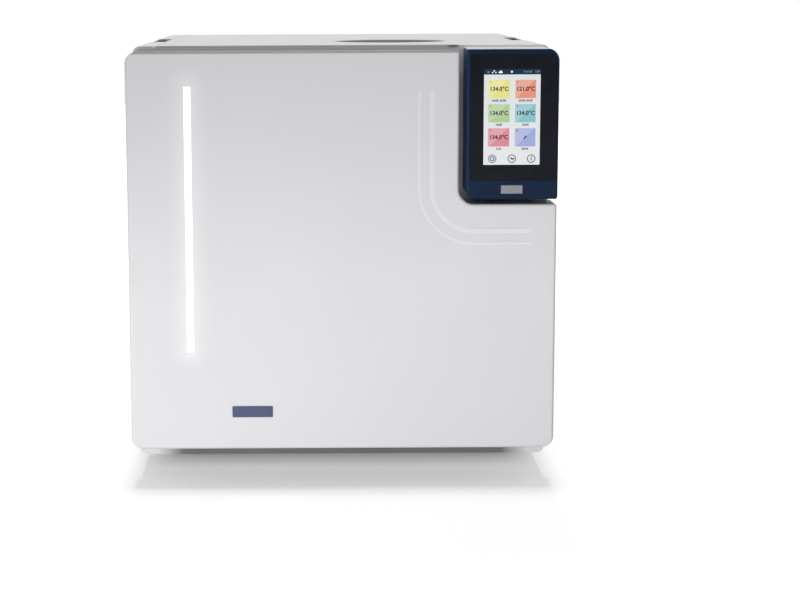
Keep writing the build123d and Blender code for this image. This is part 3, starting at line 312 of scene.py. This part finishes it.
# Painted light and shade on the lip behind the door's top edge.
painted_lip_and_rail = frame_finish.mix(lip, pale, lip_tone(frame_finish, z))
frame_finish.feed("Base Color", frame_finish.mix(plinth, painted_lip_and_rail, plinth_shade_colour))

x, y, z = fascia_finish.axes()
fascia_drift = fascia_finish.noise(drift_scale, 2.0)
fascia_tone = fascia_finish.mix(fascia_drift, fascia_colour, shade(fascia_colour, 0.95))
# The same painted light and shade of the lip on the fascia's upper band.
fascia_painted_lip = fascia_finish.mix(z.above(fascia_band_bottom), fascia_tone, lip_tone(fascia_finish, z))
fascia_finish.feed("Base Color", fascia_painted_lip)
print("front frame, lip from x", lip_left, "to", lip_right)

# %% [markdown]
# The door is the same plastic, with the light strip's glow spilling on it. A lamp in the strip
# would do it at the cost of noise, so the spill is a soft band in the colour instead, made from
# the distance to the strip. The two raised contour lines are painted a touch paler, a painted
# highlight on the relief. Its upper edge carries painted shade, grey like the lip behind it, and
# its right edge a little painted shade.

# %% Door finish
door_colour = (0.675, 0.675, 0.69)
# Painted highlight on the raised contour lines.
contour_highlight_colour = (0.80, 0.80, 0.82)
# Painted shade for the door's top edge and its right edge.
door_edge_shade_colour = (0.17, 0.17, 0.18)
spill_colour = (0.95, 0.95, 0.97)
spill_core, spill_reach = 0.003, 0.030
strip_end_inset = 0.004
contour_relief = 0.0003
edge_start, right_edge_start, edge_full = 0.0028, 0.0030, 0.0008

door_low, door_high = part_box("door_panel")
strip_low, strip_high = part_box("light_strip")
strip_x = (strip_low.x + strip_high.x) / 2
strip_z = (strip_high.z + strip_low.z) / 2
strip_half_length = (strip_high.z - strip_low.z) / 2 - strip_end_inset

door_finish = Finish("door_moulding", 0.40)
x, y, z = door_finish.axes()
beside_strip = (x - strip_x).magnitude()
beyond_strip = ((z - strip_z).magnitude() - strip_half_length).at_least(0.0)
distance = (beside_strip * beside_strip + beyond_strip * beyond_strip).power(0.5)
spill = door_finish.ramp(distance, spill_core, spill_reach, 1.0, 0.0).power(2.0)
door_drift = door_finish.patches(2.5, 2.0)
door_tone = door_finish.mix(door_drift * 0.5, door_colour, shade(door_colour, 0.965))
raised = y.below(door_low.y + contour_relief)
# Painted highlight: the raised contour lines are made paler.
door_tone = door_finish.mix(raised * 0.5, door_tone, contour_highlight_colour)
# Painted shade on the door's top edge, in the gap below the lip, and a little on its right edge.
top_edge_shade = door_finish.ramp(z, door_high.z - edge_start, door_high.z - edge_full)
right_edge_shade = door_finish.ramp(x, door_high.x - right_edge_start, door_high.x - edge_full)
edges = (top_edge_shade + right_edge_shade * 0.45).at_most(1.0)
door_tone = door_finish.mix(edges, door_tone, door_edge_shade_colour)
door_finish.feed("Base Color", door_finish.mix(spill * 0.35, door_tone, spill_colour))
door_finish.feed("Roughness", door_finish.patches(18.0, 4.0, 0.36, 0.46))
door_finish.bump(door_finish.noise(mould_texture_scale, 2.0), 0.3, 0.00005)
print("strip at x", round(strip_x, 4), "length", round(2 * strip_half_length, 3))

# %% [markdown]
# The control housing is a satin dark blue with a pale top. Dark parts live on their reflections:
# a low specular level keeps the white room from turning them grey. A painted highlight, a lighter
# blue, runs down the housing's left edge, as it does in the photograph.

# %% Housing finish
navy_colour = (0.003, 0.0155, 0.046)
# Painted highlight: a lighter blue for the housing's rounded left edge.
blue_edge_highlight_colour = (0.009, 0.034, 0.090)
blue_edge_start, blue_edge_end = 0.0008, 0.0034
pale_top_depth = 0.0008

housing_finish = moulded(
    "navy_housing", navy_colour, 0.34, grain=0.00002, uneven=0.2, Specular_IOR_Level=0.07
)
housing_low, housing_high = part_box("control_housing")
x, y, z = housing_finish.axes()
navy = housing_finish.mix(housing_finish.patches(drift_scale, 2.0), navy_colour, shade(navy_colour, 0.85))
# Painted highlight along the housing's left edge.
blue_edge_highlight = housing_finish.ramp(
    x, housing_low.x + blue_edge_start, housing_low.x + blue_edge_end, 1.0, 0.0
)
navy = housing_finish.mix(blue_edge_highlight, navy, blue_edge_highlight_colour)
pale_top = z.above(housing_high.z - pale_top_depth)
housing_finish.feed("Base Color", housing_finish.mix(pale_top, navy, case_colour))
print("housing top at", round(housing_high.z, 4))

# %% [markdown]
# The screen sits behind black glass, which is nearly a mirror; fine smears in its roughness keep
# it from looking like a hole. The door's light strip is a milky diffuser that glows by itself,
# so its finish sends out light, with a very faint rhythm from the diodes behind it.

# %% Glass and light strip
glass_finish = Finish("black_glass", 0.08, Specular_IOR_Level=0.10)
glass_drift = glass_finish.patches(30.0, 2.0, spread=0.1)
glass_finish.feed("Base Color", glass_finish.mix(glass_drift, (0.004, 0.004, 0.010), (0.006, 0.006, 0.013)))
glass_smears = glass_finish.ramp(glass_finish.noise(60.0, 5.0), 0.4, 0.7, 0.07, 0.16)
glass_finish.feed("Roughness", glass_smears)

strip_finish = Finish("strip_diffuser", 0.4, Emission_Strength=1.0)
diode_rhythm = strip_finish.patches(90.0, 1.0, 0.0, 0.05)
strip_finish.feed("Base Color", strip_finish.mix(diode_rhythm, (0.9, 0.9, 0.9), (0.8, 0.82, 0.86)))
strip_finish.feed("Emission Color", strip_finish.mix(diode_rhythm, (1.0, 1.0, 1.0), (0.85, 0.9, 1.0)))
print("glass and light strip ready")

# %% [markdown]
# Sheet and turned metals share one recipe. A brushed grain could be drawn by many fine scratches,
# but noise stretched along the rolling direction does the same, and serves both the gloss and a
# very small bump. Zinc sheet adds soft cloudy patches.

# %% Metals
grain_across, grain_along = 220.0, 5.0


def brushed(name, colour, roughness, along, clouds=0.0):
    """Metal with its grain drawn out along one axis (0, 1 or 2)."""
    made = Finish(name, roughness, 1.0)
    stretch = [grain_across] * 3
    stretch[along] = grain_along
    stretched = made.node("ShaderNodeMapping", {}, {"Vector": made.place, "Scale": stretch})
    grain = made.noise(4.0, 3.0, stretched)
    cloud = made.patches(14.0, 3.0, spread=0.15)
    made.feed("Base Color", made.mix(grain * 0.35 + cloud * clouds, colour, shade(colour, 0.82)))
    made.feed("Roughness", made.ramp(grain, 0.3, 0.7, roughness - 0.08, roughness + 0.12))
    made.bump(grain, 0.25, 0.00003)
    return made


stainless = brushed("stainless_sheet", (0.60, 0.60, 0.61), 0.30, along=1)
chamber_steel = brushed("chamber_steel", (0.66, 0.66, 0.67), 0.22, along=0)
zinc_sheet = brushed("zinc_sheet", (0.46, 0.47, 0.49), 0.42, along=0, clouds=0.4)
bright_aluminium = brushed("bright_aluminium", (0.70, 0.71, 0.72), 0.35, along=2)
brass_finish = brushed("turned_brass", (0.62, 0.44, 0.18), 0.28, along=2)
copper_finish = brushed("copper_tube", (0.60, 0.29, 0.17), 0.30, along=1)
cast_finish = moulded("cast_metal", (0.30, 0.305, 0.31), 0.55, grain=0.0002)
cast_finish.shader.inputs["Metallic"].default_value = 0.6
print("metals ready")

# %% [markdown]
# What is left lies inside or underneath: rubber feet, the silicone door seal, the felt wrapped
# round the hot chamber, the milky water tanks and the power board. Felt needs coarse fibres that
# cast small shadows, so its bump is a whole millimetre, far more than on any plastic.

# %% Soft and odd finishes
rubber_finish = moulded("black_rubber", (0.02, 0.02, 0.02), 0.75, grain=0.00015)
silicone_finish = moulded("seal_silicone", (0.60, 0.60, 0.58), 0.5)
tank_finish = moulded("milky_tank", (0.66, 0.68, 0.68), 0.35)

felt_finish = Finish("felt_wrap", 0.95)
fibre = felt_finish.noise(420.0, 6.0)
felt_finish.feed("Base Color", felt_finish.mix(fibre, (0.50, 0.46, 0.38), (0.32, 0.29, 0.24)))
felt_finish.bump(fibre, 0.8, 0.001)

board_finish = Finish("circuit_board", 0.35)
tracks = board_finish.patches(160.0, 1.0, spread=0.02)
board_finish.feed("Base Color", board_finish.mix(tracks, (0.015, 0.10, 0.045), (0.03, 0.17, 0.08)))
board_finish.bump(tracks, 0.4, 0.0001)
print("soft and odd finishes ready")

# %% [markdown]
# Each solid came with a plain material in its slots. A list of which finish goes on which piece
# is quicker to check than many single lines, and the last print shows whether one was forgotten.

# %% Finishes onto the frame's nodes
finish_of = {
    case_finish: ["left_side_panel", "right_side_panel", "top_cover"],
    frame_finish: ["front_frame"],
    door_finish: ["door_panel"],
    fascia_finish: ["fascia"],
    grip_finish: ["grip_cups"],
    bowl_finish: ["fill_bowl"],
    liner_finish: ["door_liner", "tank_cap"],
    black_plastic: [
        "display_module", "usb_socket", "lock_motor", "water_pump",
        "fan_housing", "fan_rotor", "mains_module", "power_switch",
    ],
    filter_plastic: ["air_filter"],
    flap_finish: ["usb_flap"],
    badge_finish: ["name_plate"],
    housing_finish: ["control_housing"],
    glass_finish: ["touch_glass"],
    strip_finish: ["light_strip"],
    stainless: [
        "tray_rack", "tray_1", "tray_2", "tray_3", "tray_4", "tray_5",
        "steam_generator", "disc_spindle", "hinge_arms", "hinge_brackets",
        "lock_studs", "lock_slider", "rear_screws",
    ],
    chamber_steel: ["chamber", "chamber_flange", "door_disc"],
    zinc_sheet: ["rear_panel", "base_pan", "bulkhead", "tank_shelf", "fan_guard"],
    bright_aluminium: ["heater_band", "condenser"],
    brass_finish: ["valve_block", "safety_valve", "rear_spigots", "drain_ports"],
    copper_finish: ["pipework"],
    cast_finish: ["door_bridge", "vacuum_pump"],
    rubber_finish: ["feet"],
    silicone_finish: ["chamber_gasket"],
    felt_finish: ["insulation"],
    tank_finish: ["clean_water_tank", "used_water_tank"],
    board_finish: ["power_board"],
}
for finish, node_names in finish_of.items():
    for node_name in node_names:
        for material_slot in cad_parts[node_name].material_slots:
            material_slot.material = finish.material
dressed = {node_name for node_names in finish_of.values() for node_name in node_names}
print("nodes without a finish:", sorted(set(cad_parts) - dressed))

# %% [markdown]
# An operator acts on all that is selected, and the loaded solids start out selected. So every
# new piece begins with an empty selection, and ends with its place moved into its mesh.

# %% Picking and settling a piece
def clear_selection():
    if bpy.context.mode != "OBJECT":
        bpy.ops.object.mode_set(mode="OBJECT")
    bpy.ops.object.select_all(action="DESELECT")


def pick(piece):
    """Selects one piece alone and makes it the active one."""
    clear_selection()
    piece.select_set(True)
    bpy.context.view_layer.objects.active = piece


def settle(piece):
    """Moves a finished object's place, turn and size into its mesh."""
    pick(piece)
    bpy.ops.object.transform_apply(location=True, rotation=True, scale=True)


print("selection helpers ready")

# %% [markdown]
# The screen's picture could be one image on the glass. Thin printed layers keep sharp edges at
# any distance, so each mark is a slab of a tenth of a millimetre: a cube squeezed to size, with
# the four edges that run front to back bevelled into round corners.

# %% A thin slab with rounded corners
corner_segments = 5


def slab(name, x_span, y_span, z_span, corner, finish):
    """A flat plate on the screen, facing the front, its four corners rounded."""
    clear_selection()
    spans = (x_span, y_span, z_span)
    bpy.ops.mesh.primitive_cube_add(size=1.0, location=[(low + high) / 2 * MM for low, high in spans])
    piece = bpy.context.object
    piece.name = name
    piece.scale = [(high - low) * MM for low, high in spans]
    settle(piece)
    bpy.ops.object.mode_set(mode="EDIT")
    bpy.ops.mesh.select_mode(type="EDGE")
    bpy.ops.mesh.select_all(action="DESELECT")
    mesh = bmesh.from_edit_mesh(piece.data)
    for edge in mesh.edges:
        run = (edge.verts[0].co - edge.verts[1].co).normalized()
        edge.select_set(abs(run.y) > 0.99)
    bmesh.update_edit_mesh(piece.data)
    bpy.ops.mesh.bevel(offset=corner * MM, segments=corner_segments, affect="EDGES")
    bpy.ops.object.mode_set(mode="OBJECT")
    piece.data.materials.append(finish.material)
    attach(piece, "case")
    return piece


def mark(name, middle_x, middle_z, wide, tall, y_span, corner, finish):
    """A slab given by its middle and its size across the screen."""
    x_span = (middle_x - wide / 2, middle_x + wide / 2)
    z_span = (middle_z - tall / 2, middle_z + tall / 2)
    return slab(name, x_span, y_span, z_span, corner, finish)


print("slab maker ready")

# %% [markdown]
# A lit screen sends out its own colours. Lamps behind the glass would not reach through it, so
# each layer's finish carries its colour as emission, and only a little of it as paint. The keys
# get a lighter corner, the soft gloss that screen designers like to draw.

# %% Screen colours
def lit(name, colour, glow=0.56, **constants):
    """A colour on a lit screen, a little uneven as backlights are."""
    made = Finish(name, 0.25, Emission_Strength=glow, **constants)
    tone = made.mix(made.patches(40.0, 1.0, 0.0, 0.12), colour, shade(colour, 0.85))
    made.feed("Base Color", made.mix(0.55, tone, (0.0, 0.0, 0.0)))
    made.feed("Emission Color", tone)
    return made


def lightened(colour, share):
    """The same colour, with a share of it turned to white."""
    return tuple(part * (1.0 - share) + share for part in colour)


page_lit = lit("screen_page", (0.84, 0.87, 0.88), 0.47)
bar_lit = lit("screen_bar", (0.004, 0.035, 0.07), Specular_IOR_Level=0.1)
slate_lit = lit("screen_slate", (0.06, 0.10, 0.17), 0.4)
ink_lit = lit("screen_ink", (0.03, 0.03, 0.04), 0.3, Specular_IOR_Level=0.1)
grey_lit = lit("screen_grey", (0.30, 0.31, 0.34))
white_lit = lit("screen_white", (0.9, 0.92, 0.95), 0.7)
key_colours = {
    "yellow": (0.80, 0.76, 0.22),
    "salmon": (0.80, 0.27, 0.17),
    "green": (0.40, 0.60, 0.28),
    "teal": (0.22, 0.52, 0.58),
    "pink": (0.70, 0.22, 0.28),
    "blue": (0.32, 0.38, 0.68),
}
key_lit = {name: lit("key_" + name, colour) for name, colour in key_colours.items()}
gloss_lit = {name: lit("gloss_" + name, lightened(colour, 0.16)) for name, colour in key_colours.items()}
print("key colours", len(key_colours))

# %% [markdown]
# A white page fills most of the glass, with a dark blue bar above it. The bar carries small
# marks of state, plain slabs here. Each layer starts where the one under it ends, so what is
# printed last lies in front.

# %% Page and bar, in millimetres
glass_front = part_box("touch_glass")[0].y / MM
page_front = glass_front - 0.10
key_front = glass_front - 0.20
ink_front = glass_front - 0.30
page_layer = (page_front, glass_front)
key_layer = (key_front, page_front)
page_x = (156.8, 219.2)
page_z = (369.3, 468.9)
bar_z = (468.9, 474.8)
page_corner = 0.3

slab("screen_page", page_x, page_layer, page_z, page_corner, page_lit)
slab("screen_bar", page_x, page_layer, bar_z, page_corner, bar_lit)

# Middle across, middle height, width, height and finish of each mark
bar_marks = (
    (161.5, 471.6, 2.0, 1.6, grey_lit),
    (166.2, 471.1, 1.5, 1.5, white_lit),
    (167.9, 472.9, 1.5, 1.5, white_lit),
    (169.7, 471.1, 1.5, 1.5, white_lit),
    (175.0, 471.3, 4.6, 1.5, white_lit),
    (175.3, 472.4, 2.2, 1.6, white_lit),
    (187.4, 471.9, 2.2, 2.2, white_lit),
)
for index, (middle_x, middle_z, wide, tall, finish) in enumerate(bar_marks):
    corner = 0.45 * min(wide, tall)
    mark(f"bar_mark_{index}", middle_x, middle_z, wide, tall, (ink_front, page_front), corner, finish)
print("marks on the bar", len(bar_marks))

# %% [markdown]
# Numbers are text objects turned into meshes. The text is converted first and placed after, so
# that its place ends up in the mesh like that of every other piece. A key's lighter corner is a
# second slab, cut off along its diagonal by a plane.

# %% Numbers and a key's lighter corner
number_thickness = 0.04
gloss_rise, gloss_sink, gloss_corner = 0.05, 0.02, 0.2


def number_on(name, text, middle_x, middle_z, height, boldness, finish):
    """Flat numbers from a text object, made a mesh before they are placed."""
    clear_selection()
    bpy.ops.object.text_add()
    words = bpy.context.object
    words.name = name
    words.data.body = text
    words.data.align_x = "CENTER"
    words.data.align_y = "CENTER"
    words.data.size = height * MM
    words.data.extrude = number_thickness * MM
    words.data.offset = boldness * MM
    bpy.ops.object.convert(target="MESH")
    words.rotation_euler = (math.pi / 2, 0.0, 0.0)
    words.location = (middle_x * MM, (ink_front - number_thickness) * MM, middle_z * MM)
    settle(words)
    words.data.materials.append(finish.material)
    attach(words, "case")
    return words


def corner_gloss(name, x_span, z_span, finish):
    """A key's lighter upper left corner: a thin plate cut off along its diagonal."""
    gloss_layer = (key_front - gloss_rise, key_front + gloss_sink)
    piece = slab(name, x_span, gloss_layer, z_span, gloss_corner, finish)
    pick(piece)
    bpy.ops.object.mode_set(mode="EDIT")
    bpy.ops.mesh.select_all(action="SELECT")
    bpy.ops.mesh.bisect(
        plane_co=(sum(x_span) / 2 * MM, key_front * MM, sum(z_span) / 2 * MM),
        plane_no=(z_span[1] - z_span[0], 0.0, x_span[0] - x_span[1]),
        use_fill=True,
        clear_outer=True,
    )
    bpy.ops.object.mode_set(mode="OBJECT")
    return piece


print("number maker ready")

# %% [markdown]
# Six keys stand in two columns. Each has a large number on it, a small place number in its upper
# left corner and a line of times beneath. One loop over rows and columns lays them all out from
# the height of the first row and the pitch between rows.

# %% Keys with plain numbers, in millimetres
key_columns = ((161.7, 185.3), (191.5, 214.2))
key_top_z = 463.1
key_pitch = 26.65
key_height = 20.2
key_corner = 0.6
place_inset = 2.4
times_drop = 2.7
large_number, times_number, place_number, bar_number = 6.3, 3.3, 2.9, 2.5
heavy, medium, light = 0.17, 0.07, 0.03
bar_number_z = 471.9
key_rows = (
    (("yellow", "134.0°C", "04:00 20:00"), ("salmon", "121.0°C", "20:00 20:00")),
    (("green", "134.0°C", "18:00"), ("teal", "134.0°C", "04:00")),
    (("pink", "134.0°C", "3:30"), ("blue", "", "00:00")),
)

place = 0
for row, cells in enumerate(key_rows):
    row_top = key_top_z - row * key_pitch
    z_span = (row_top - key_height, row_top)
    for (colour, number, times), x_span in zip(cells, key_columns):
        place += 1
        middle_x = sum(x_span) / 2
        middle_z = sum(z_span) / 2
        place_x, place_z = x_span[0] + place_inset, row_top - place_inset
        slab("key_" + colour, x_span, key_layer, z_span, key_corner, key_lit[colour])
        corner_gloss("gloss_" + colour, x_span, z_span, gloss_lit[colour])
        if number:
            number_on("number_" + colour, number, middle_x, middle_z, large_number, heavy, ink_lit)
        number_on("place_" + colour, str(place), place_x, place_z, place_number, light, ink_lit)
        number_on("times_" + colour, times, middle_x, z_span[0] - times_drop, times_number, medium, ink_lit)
for name, text, middle_x in (("bar_day", "01-01-00", 205.0), ("bar_clock", "12:30", 215.6)):
    number_on(name, text, middle_x, bar_number_z, bar_number, light, grey_lit)
print("keys", place)

# %% [markdown]
# Three round icons stand under the keys. A drawn ring is a torus pressed thin, which keeps an
# even line all round. The strokes inside the rings are small slabs again.

# %% Round icons, in millimetres
icon_z = 376.0
icon_columns = (166.6, 188.4, 209.9)
icon_radius, icon_line = 4.2, 0.85
gear_radius, gear_line = 2.2, 1.2
ring_thickness = 0.2
stroke_corner = 0.3


def ring(name, middle_x, radius, line, finish):
    """A flat ring: a torus pressed thin against the page."""
    clear_selection()
    bpy.ops.mesh.primitive_torus_add(
        major_radius=radius * MM,
        minor_radius=line / 2 * MM,
        major_segments=48,
        minor_segments=8,
        location=(middle_x * MM, (page_front - ring_thickness / 4) * MM, icon_z * MM),
        rotation=(math.pi / 2, 0.0, 0.0),
    )
    piece = bpy.context.object
    piece.name = name
    piece.scale = (1.0, 1.0, ring_thickness / line)
    settle(piece)
    piece.data.materials.append(finish.material)
    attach(piece, "case")
    return piece


for index, (icon_x, finish) in enumerate(zip(icon_columns, (slate_lit, ink_lit, ink_lit))):
    ring(f"icon_ring_{index}", icon_x, icon_radius, icon_line, finish)
ring("icon_gear", icon_columns[0], gear_radius, gear_line, slate_lit)

# Name, middle across, middle height, width and height of each stroke
branch_x, stem_x = icon_columns[1:]
icon_strokes = (
    ("icon_arm", branch_x, icon_z, 4.6, 0.8),
    ("icon_tip", branch_x + 2.0, icon_z, 1.6, 1.6),
    ("icon_bud_1", branch_x - 0.6, icon_z + 1.1, 1.2, 1.2),
    ("icon_bud_2", branch_x + 0.4, icon_z - 1.1, 1.2, 1.2),
    ("icon_stem", stem_x, icon_z - 0.6, 1.0, 3.0),
    ("icon_dot", stem_x, icon_z + 2.0, 1.2, 1.2),
)
for name, middle_x, middle_z, wide, tall in icon_strokes:
    mark(name, middle_x, middle_z, wide, tall, key_layer, stroke_corner, ink_lit)
print("icons", len(icon_columns), "strokes", len(icon_strokes))

# %% [markdown]
# The last key has no number but a small pen, a slab that stands aslant. It is turned in edit mode
# round its own middle, so that its object stays unturned like all the others.

# %% Pen on the last key, in millimetres
pen_length, pen_width, pen_corner = 4.4, 1.4, 0.5
pen_slant = 50.0
pen_layer = (ink_front, key_front)
pen_x = sum(key_columns[1]) / 2
pen_z = key_top_z - 2 * key_pitch - key_height / 2
pen = mark("key_pen", pen_x, pen_z, pen_length, pen_width, pen_layer, pen_corner, ink_lit)
pick(pen)
bpy.ops.object.mode_set(mode="EDIT")
bpy.ops.mesh.select_all(action="SELECT")
bpy.ops.transform.rotate(
    value=math.radians(pen_slant),
    orient_axis="Y",
    center_override=(pen_x * MM, ink_front * MM, pen_z * MM),
)
bpy.ops.object.mode_set(mode="OBJECT")
print("pen at", round(pen_x, 1), round(pen_z, 1))

# %% [markdown]
# The portrait stands on white, but the machine's own shadow has to stay. A brighter lamp would
# burn out the pale case, so the floor glows instead, and only for rays that end in the picture:
# straight ones, mirrored ones and those through glass. Under the machine the glow is cut back, a
# painted shadow that deepens the cast one, and beside and behind it the floor is lifted to a clean white.

# %% Floor
floor_size = 14.0
near_lift, far_lift, shadow_lift_under, side_lift = 0.42, 0.80, 0.05, 0.085
near_reach, far_reach = 0.6, 1.4
beneath_full_x, beneath_end_x = 0.20, 0.24
beneath_start_y, beneath_full_y = -0.20, -0.10
beside_start, beside_full = 0.235, 0.255
behind_start, behind_full = 0.30, 0.40

clear_selection()
bpy.ops.mesh.primitive_plane_add(size=floor_size, location=(0.0, 0.0, 0.0))
floor = bpy.context.object
floor.name = "studio_floor"


def seen_as_picture(tree):
    """1 for rays that the eye follows: straight, mirrored or through glass."""
    outputs = [f"Is {kind} Ray" for kind in ("Camera", "Glossy", "Transmission")]
    rays = [add_node(tree, "ShaderNodeLightPath", {}, {}, output) for output in outputs]
    return (rays[0] + rays[1] + rays[2]).at_most(1.0)


floor_finish = Finish("studio_floor", 0.7, Specular_IOR_Level=0.2, Emission_Strength=1.0)
x, y, z = floor_finish.axes()
floor_drift = floor_finish.patches(2.0, 2.0)
floor_finish.feed("Base Color", floor_finish.mix(floor_drift, (0.64, 0.64, 0.64), (0.62, 0.62, 0.63)))
away = (x * x + y * y).power(0.5)
lift = floor_finish.ramp(away, near_reach, far_reach, near_lift, far_lift)
across = x.magnitude()
behind = floor_finish.ramp(y, behind_start, behind_full)
# Painted shadow: the floor's glow is cut back under the machine.
painted_shadow_under = floor_finish.ramp(across, beneath_full_x, beneath_end_x, 1.0, 0.0)
painted_shadow_under = painted_shadow_under * floor_finish.ramp(y, beneath_start_y, beneath_full_y) * (1.0 - behind)
beside = floor_finish.ramp(across, beside_start, beside_full).at_least(behind)
lift = lift - painted_shadow_under * (near_lift - shadow_lift_under) + beside * side_lift
floor_glow = floor_finish.mix(lift, (0.0, 0.0, 0.0), (1.0, 1.0, 1.0))
in_picture = seen_as_picture(floor_finish.tree)
floor_finish.feed("Emission Color", floor_finish.mix(in_picture, (0.0, 0.0, 0.0), floor_glow))
floor.data.materials.append(floor_finish.material)
print("floor lift", near_lift, "near,", far_lift, "far")

# %% [markdown]
# The room gives an even light from all round, and counts as plain white only where the picture
# sees it. A broad sun from almost straight above draws the shadow under the machine, a long soft
# box low in front fills the door from below, and a small one brightens its lower left.

# %% Room and lamps
ambient = 0.416
world = bpy.data.worlds.new("studio")
bpy.context.scene.world = world
world.use_nodes = True
background = world.node_tree.nodes["Background"]
background.inputs["Color"].default_value = (1.0, 1.0, 1.0, 1.0)
strength = seen_as_picture(world.node_tree) * (1.0 - ambient) + ambient
connect(world.node_tree, strength, background.inputs["Strength"])


def softbox(name, place, target, size, power, spread=180.0):
    """A rectangular area lamp aimed at a point; power in watts, spread in degrees."""
    lamp_data = bpy.data.lights.new(name, "AREA")
    lamp_data.shape = "RECTANGLE"
    lamp_data.size, lamp_data.size_y = size
    lamp_data.spread = math.radians(spread)
    lamp_data.energy = power
    lamp = bpy.data.objects.new(name, lamp_data)
    lamp.visible_camera = False
    bpy.context.collection.objects.link(lamp)
    aim = Vector(target) - Vector(place)
    lamp.location = place
    lamp.rotation_euler = aim.to_track_quat("-Z", "Y").to_euler()
    return lamp


softbox("front_low", place=(0.0, -1.3, 0.10), target=(0.0, 0.0, 0.10), size=(1.6, 0.16), power=4.6)
softbox(
    "left_low",
    place=(-0.75, -1.0, 0.08),
    target=(-0.14, -0.3, 0.0),
    size=(0.5, 0.10),
    power=0.5,
    spread=70.0,
)

sun_data = bpy.data.lights.new("overhead_sun", "SUN")
sun_data.energy = 1.16
sun_data.angle = math.radians(8.0)
sun = bpy.data.objects.new("overhead_sun", sun_data)
sun.rotation_euler = (math.radians(-1.5), 0.0, 0.0)
bpy.context.collection.objects.link(sun)
bpy.context.scene.view_settings.view_transform = "Standard"
print("lamps", len(bpy.data.lights))
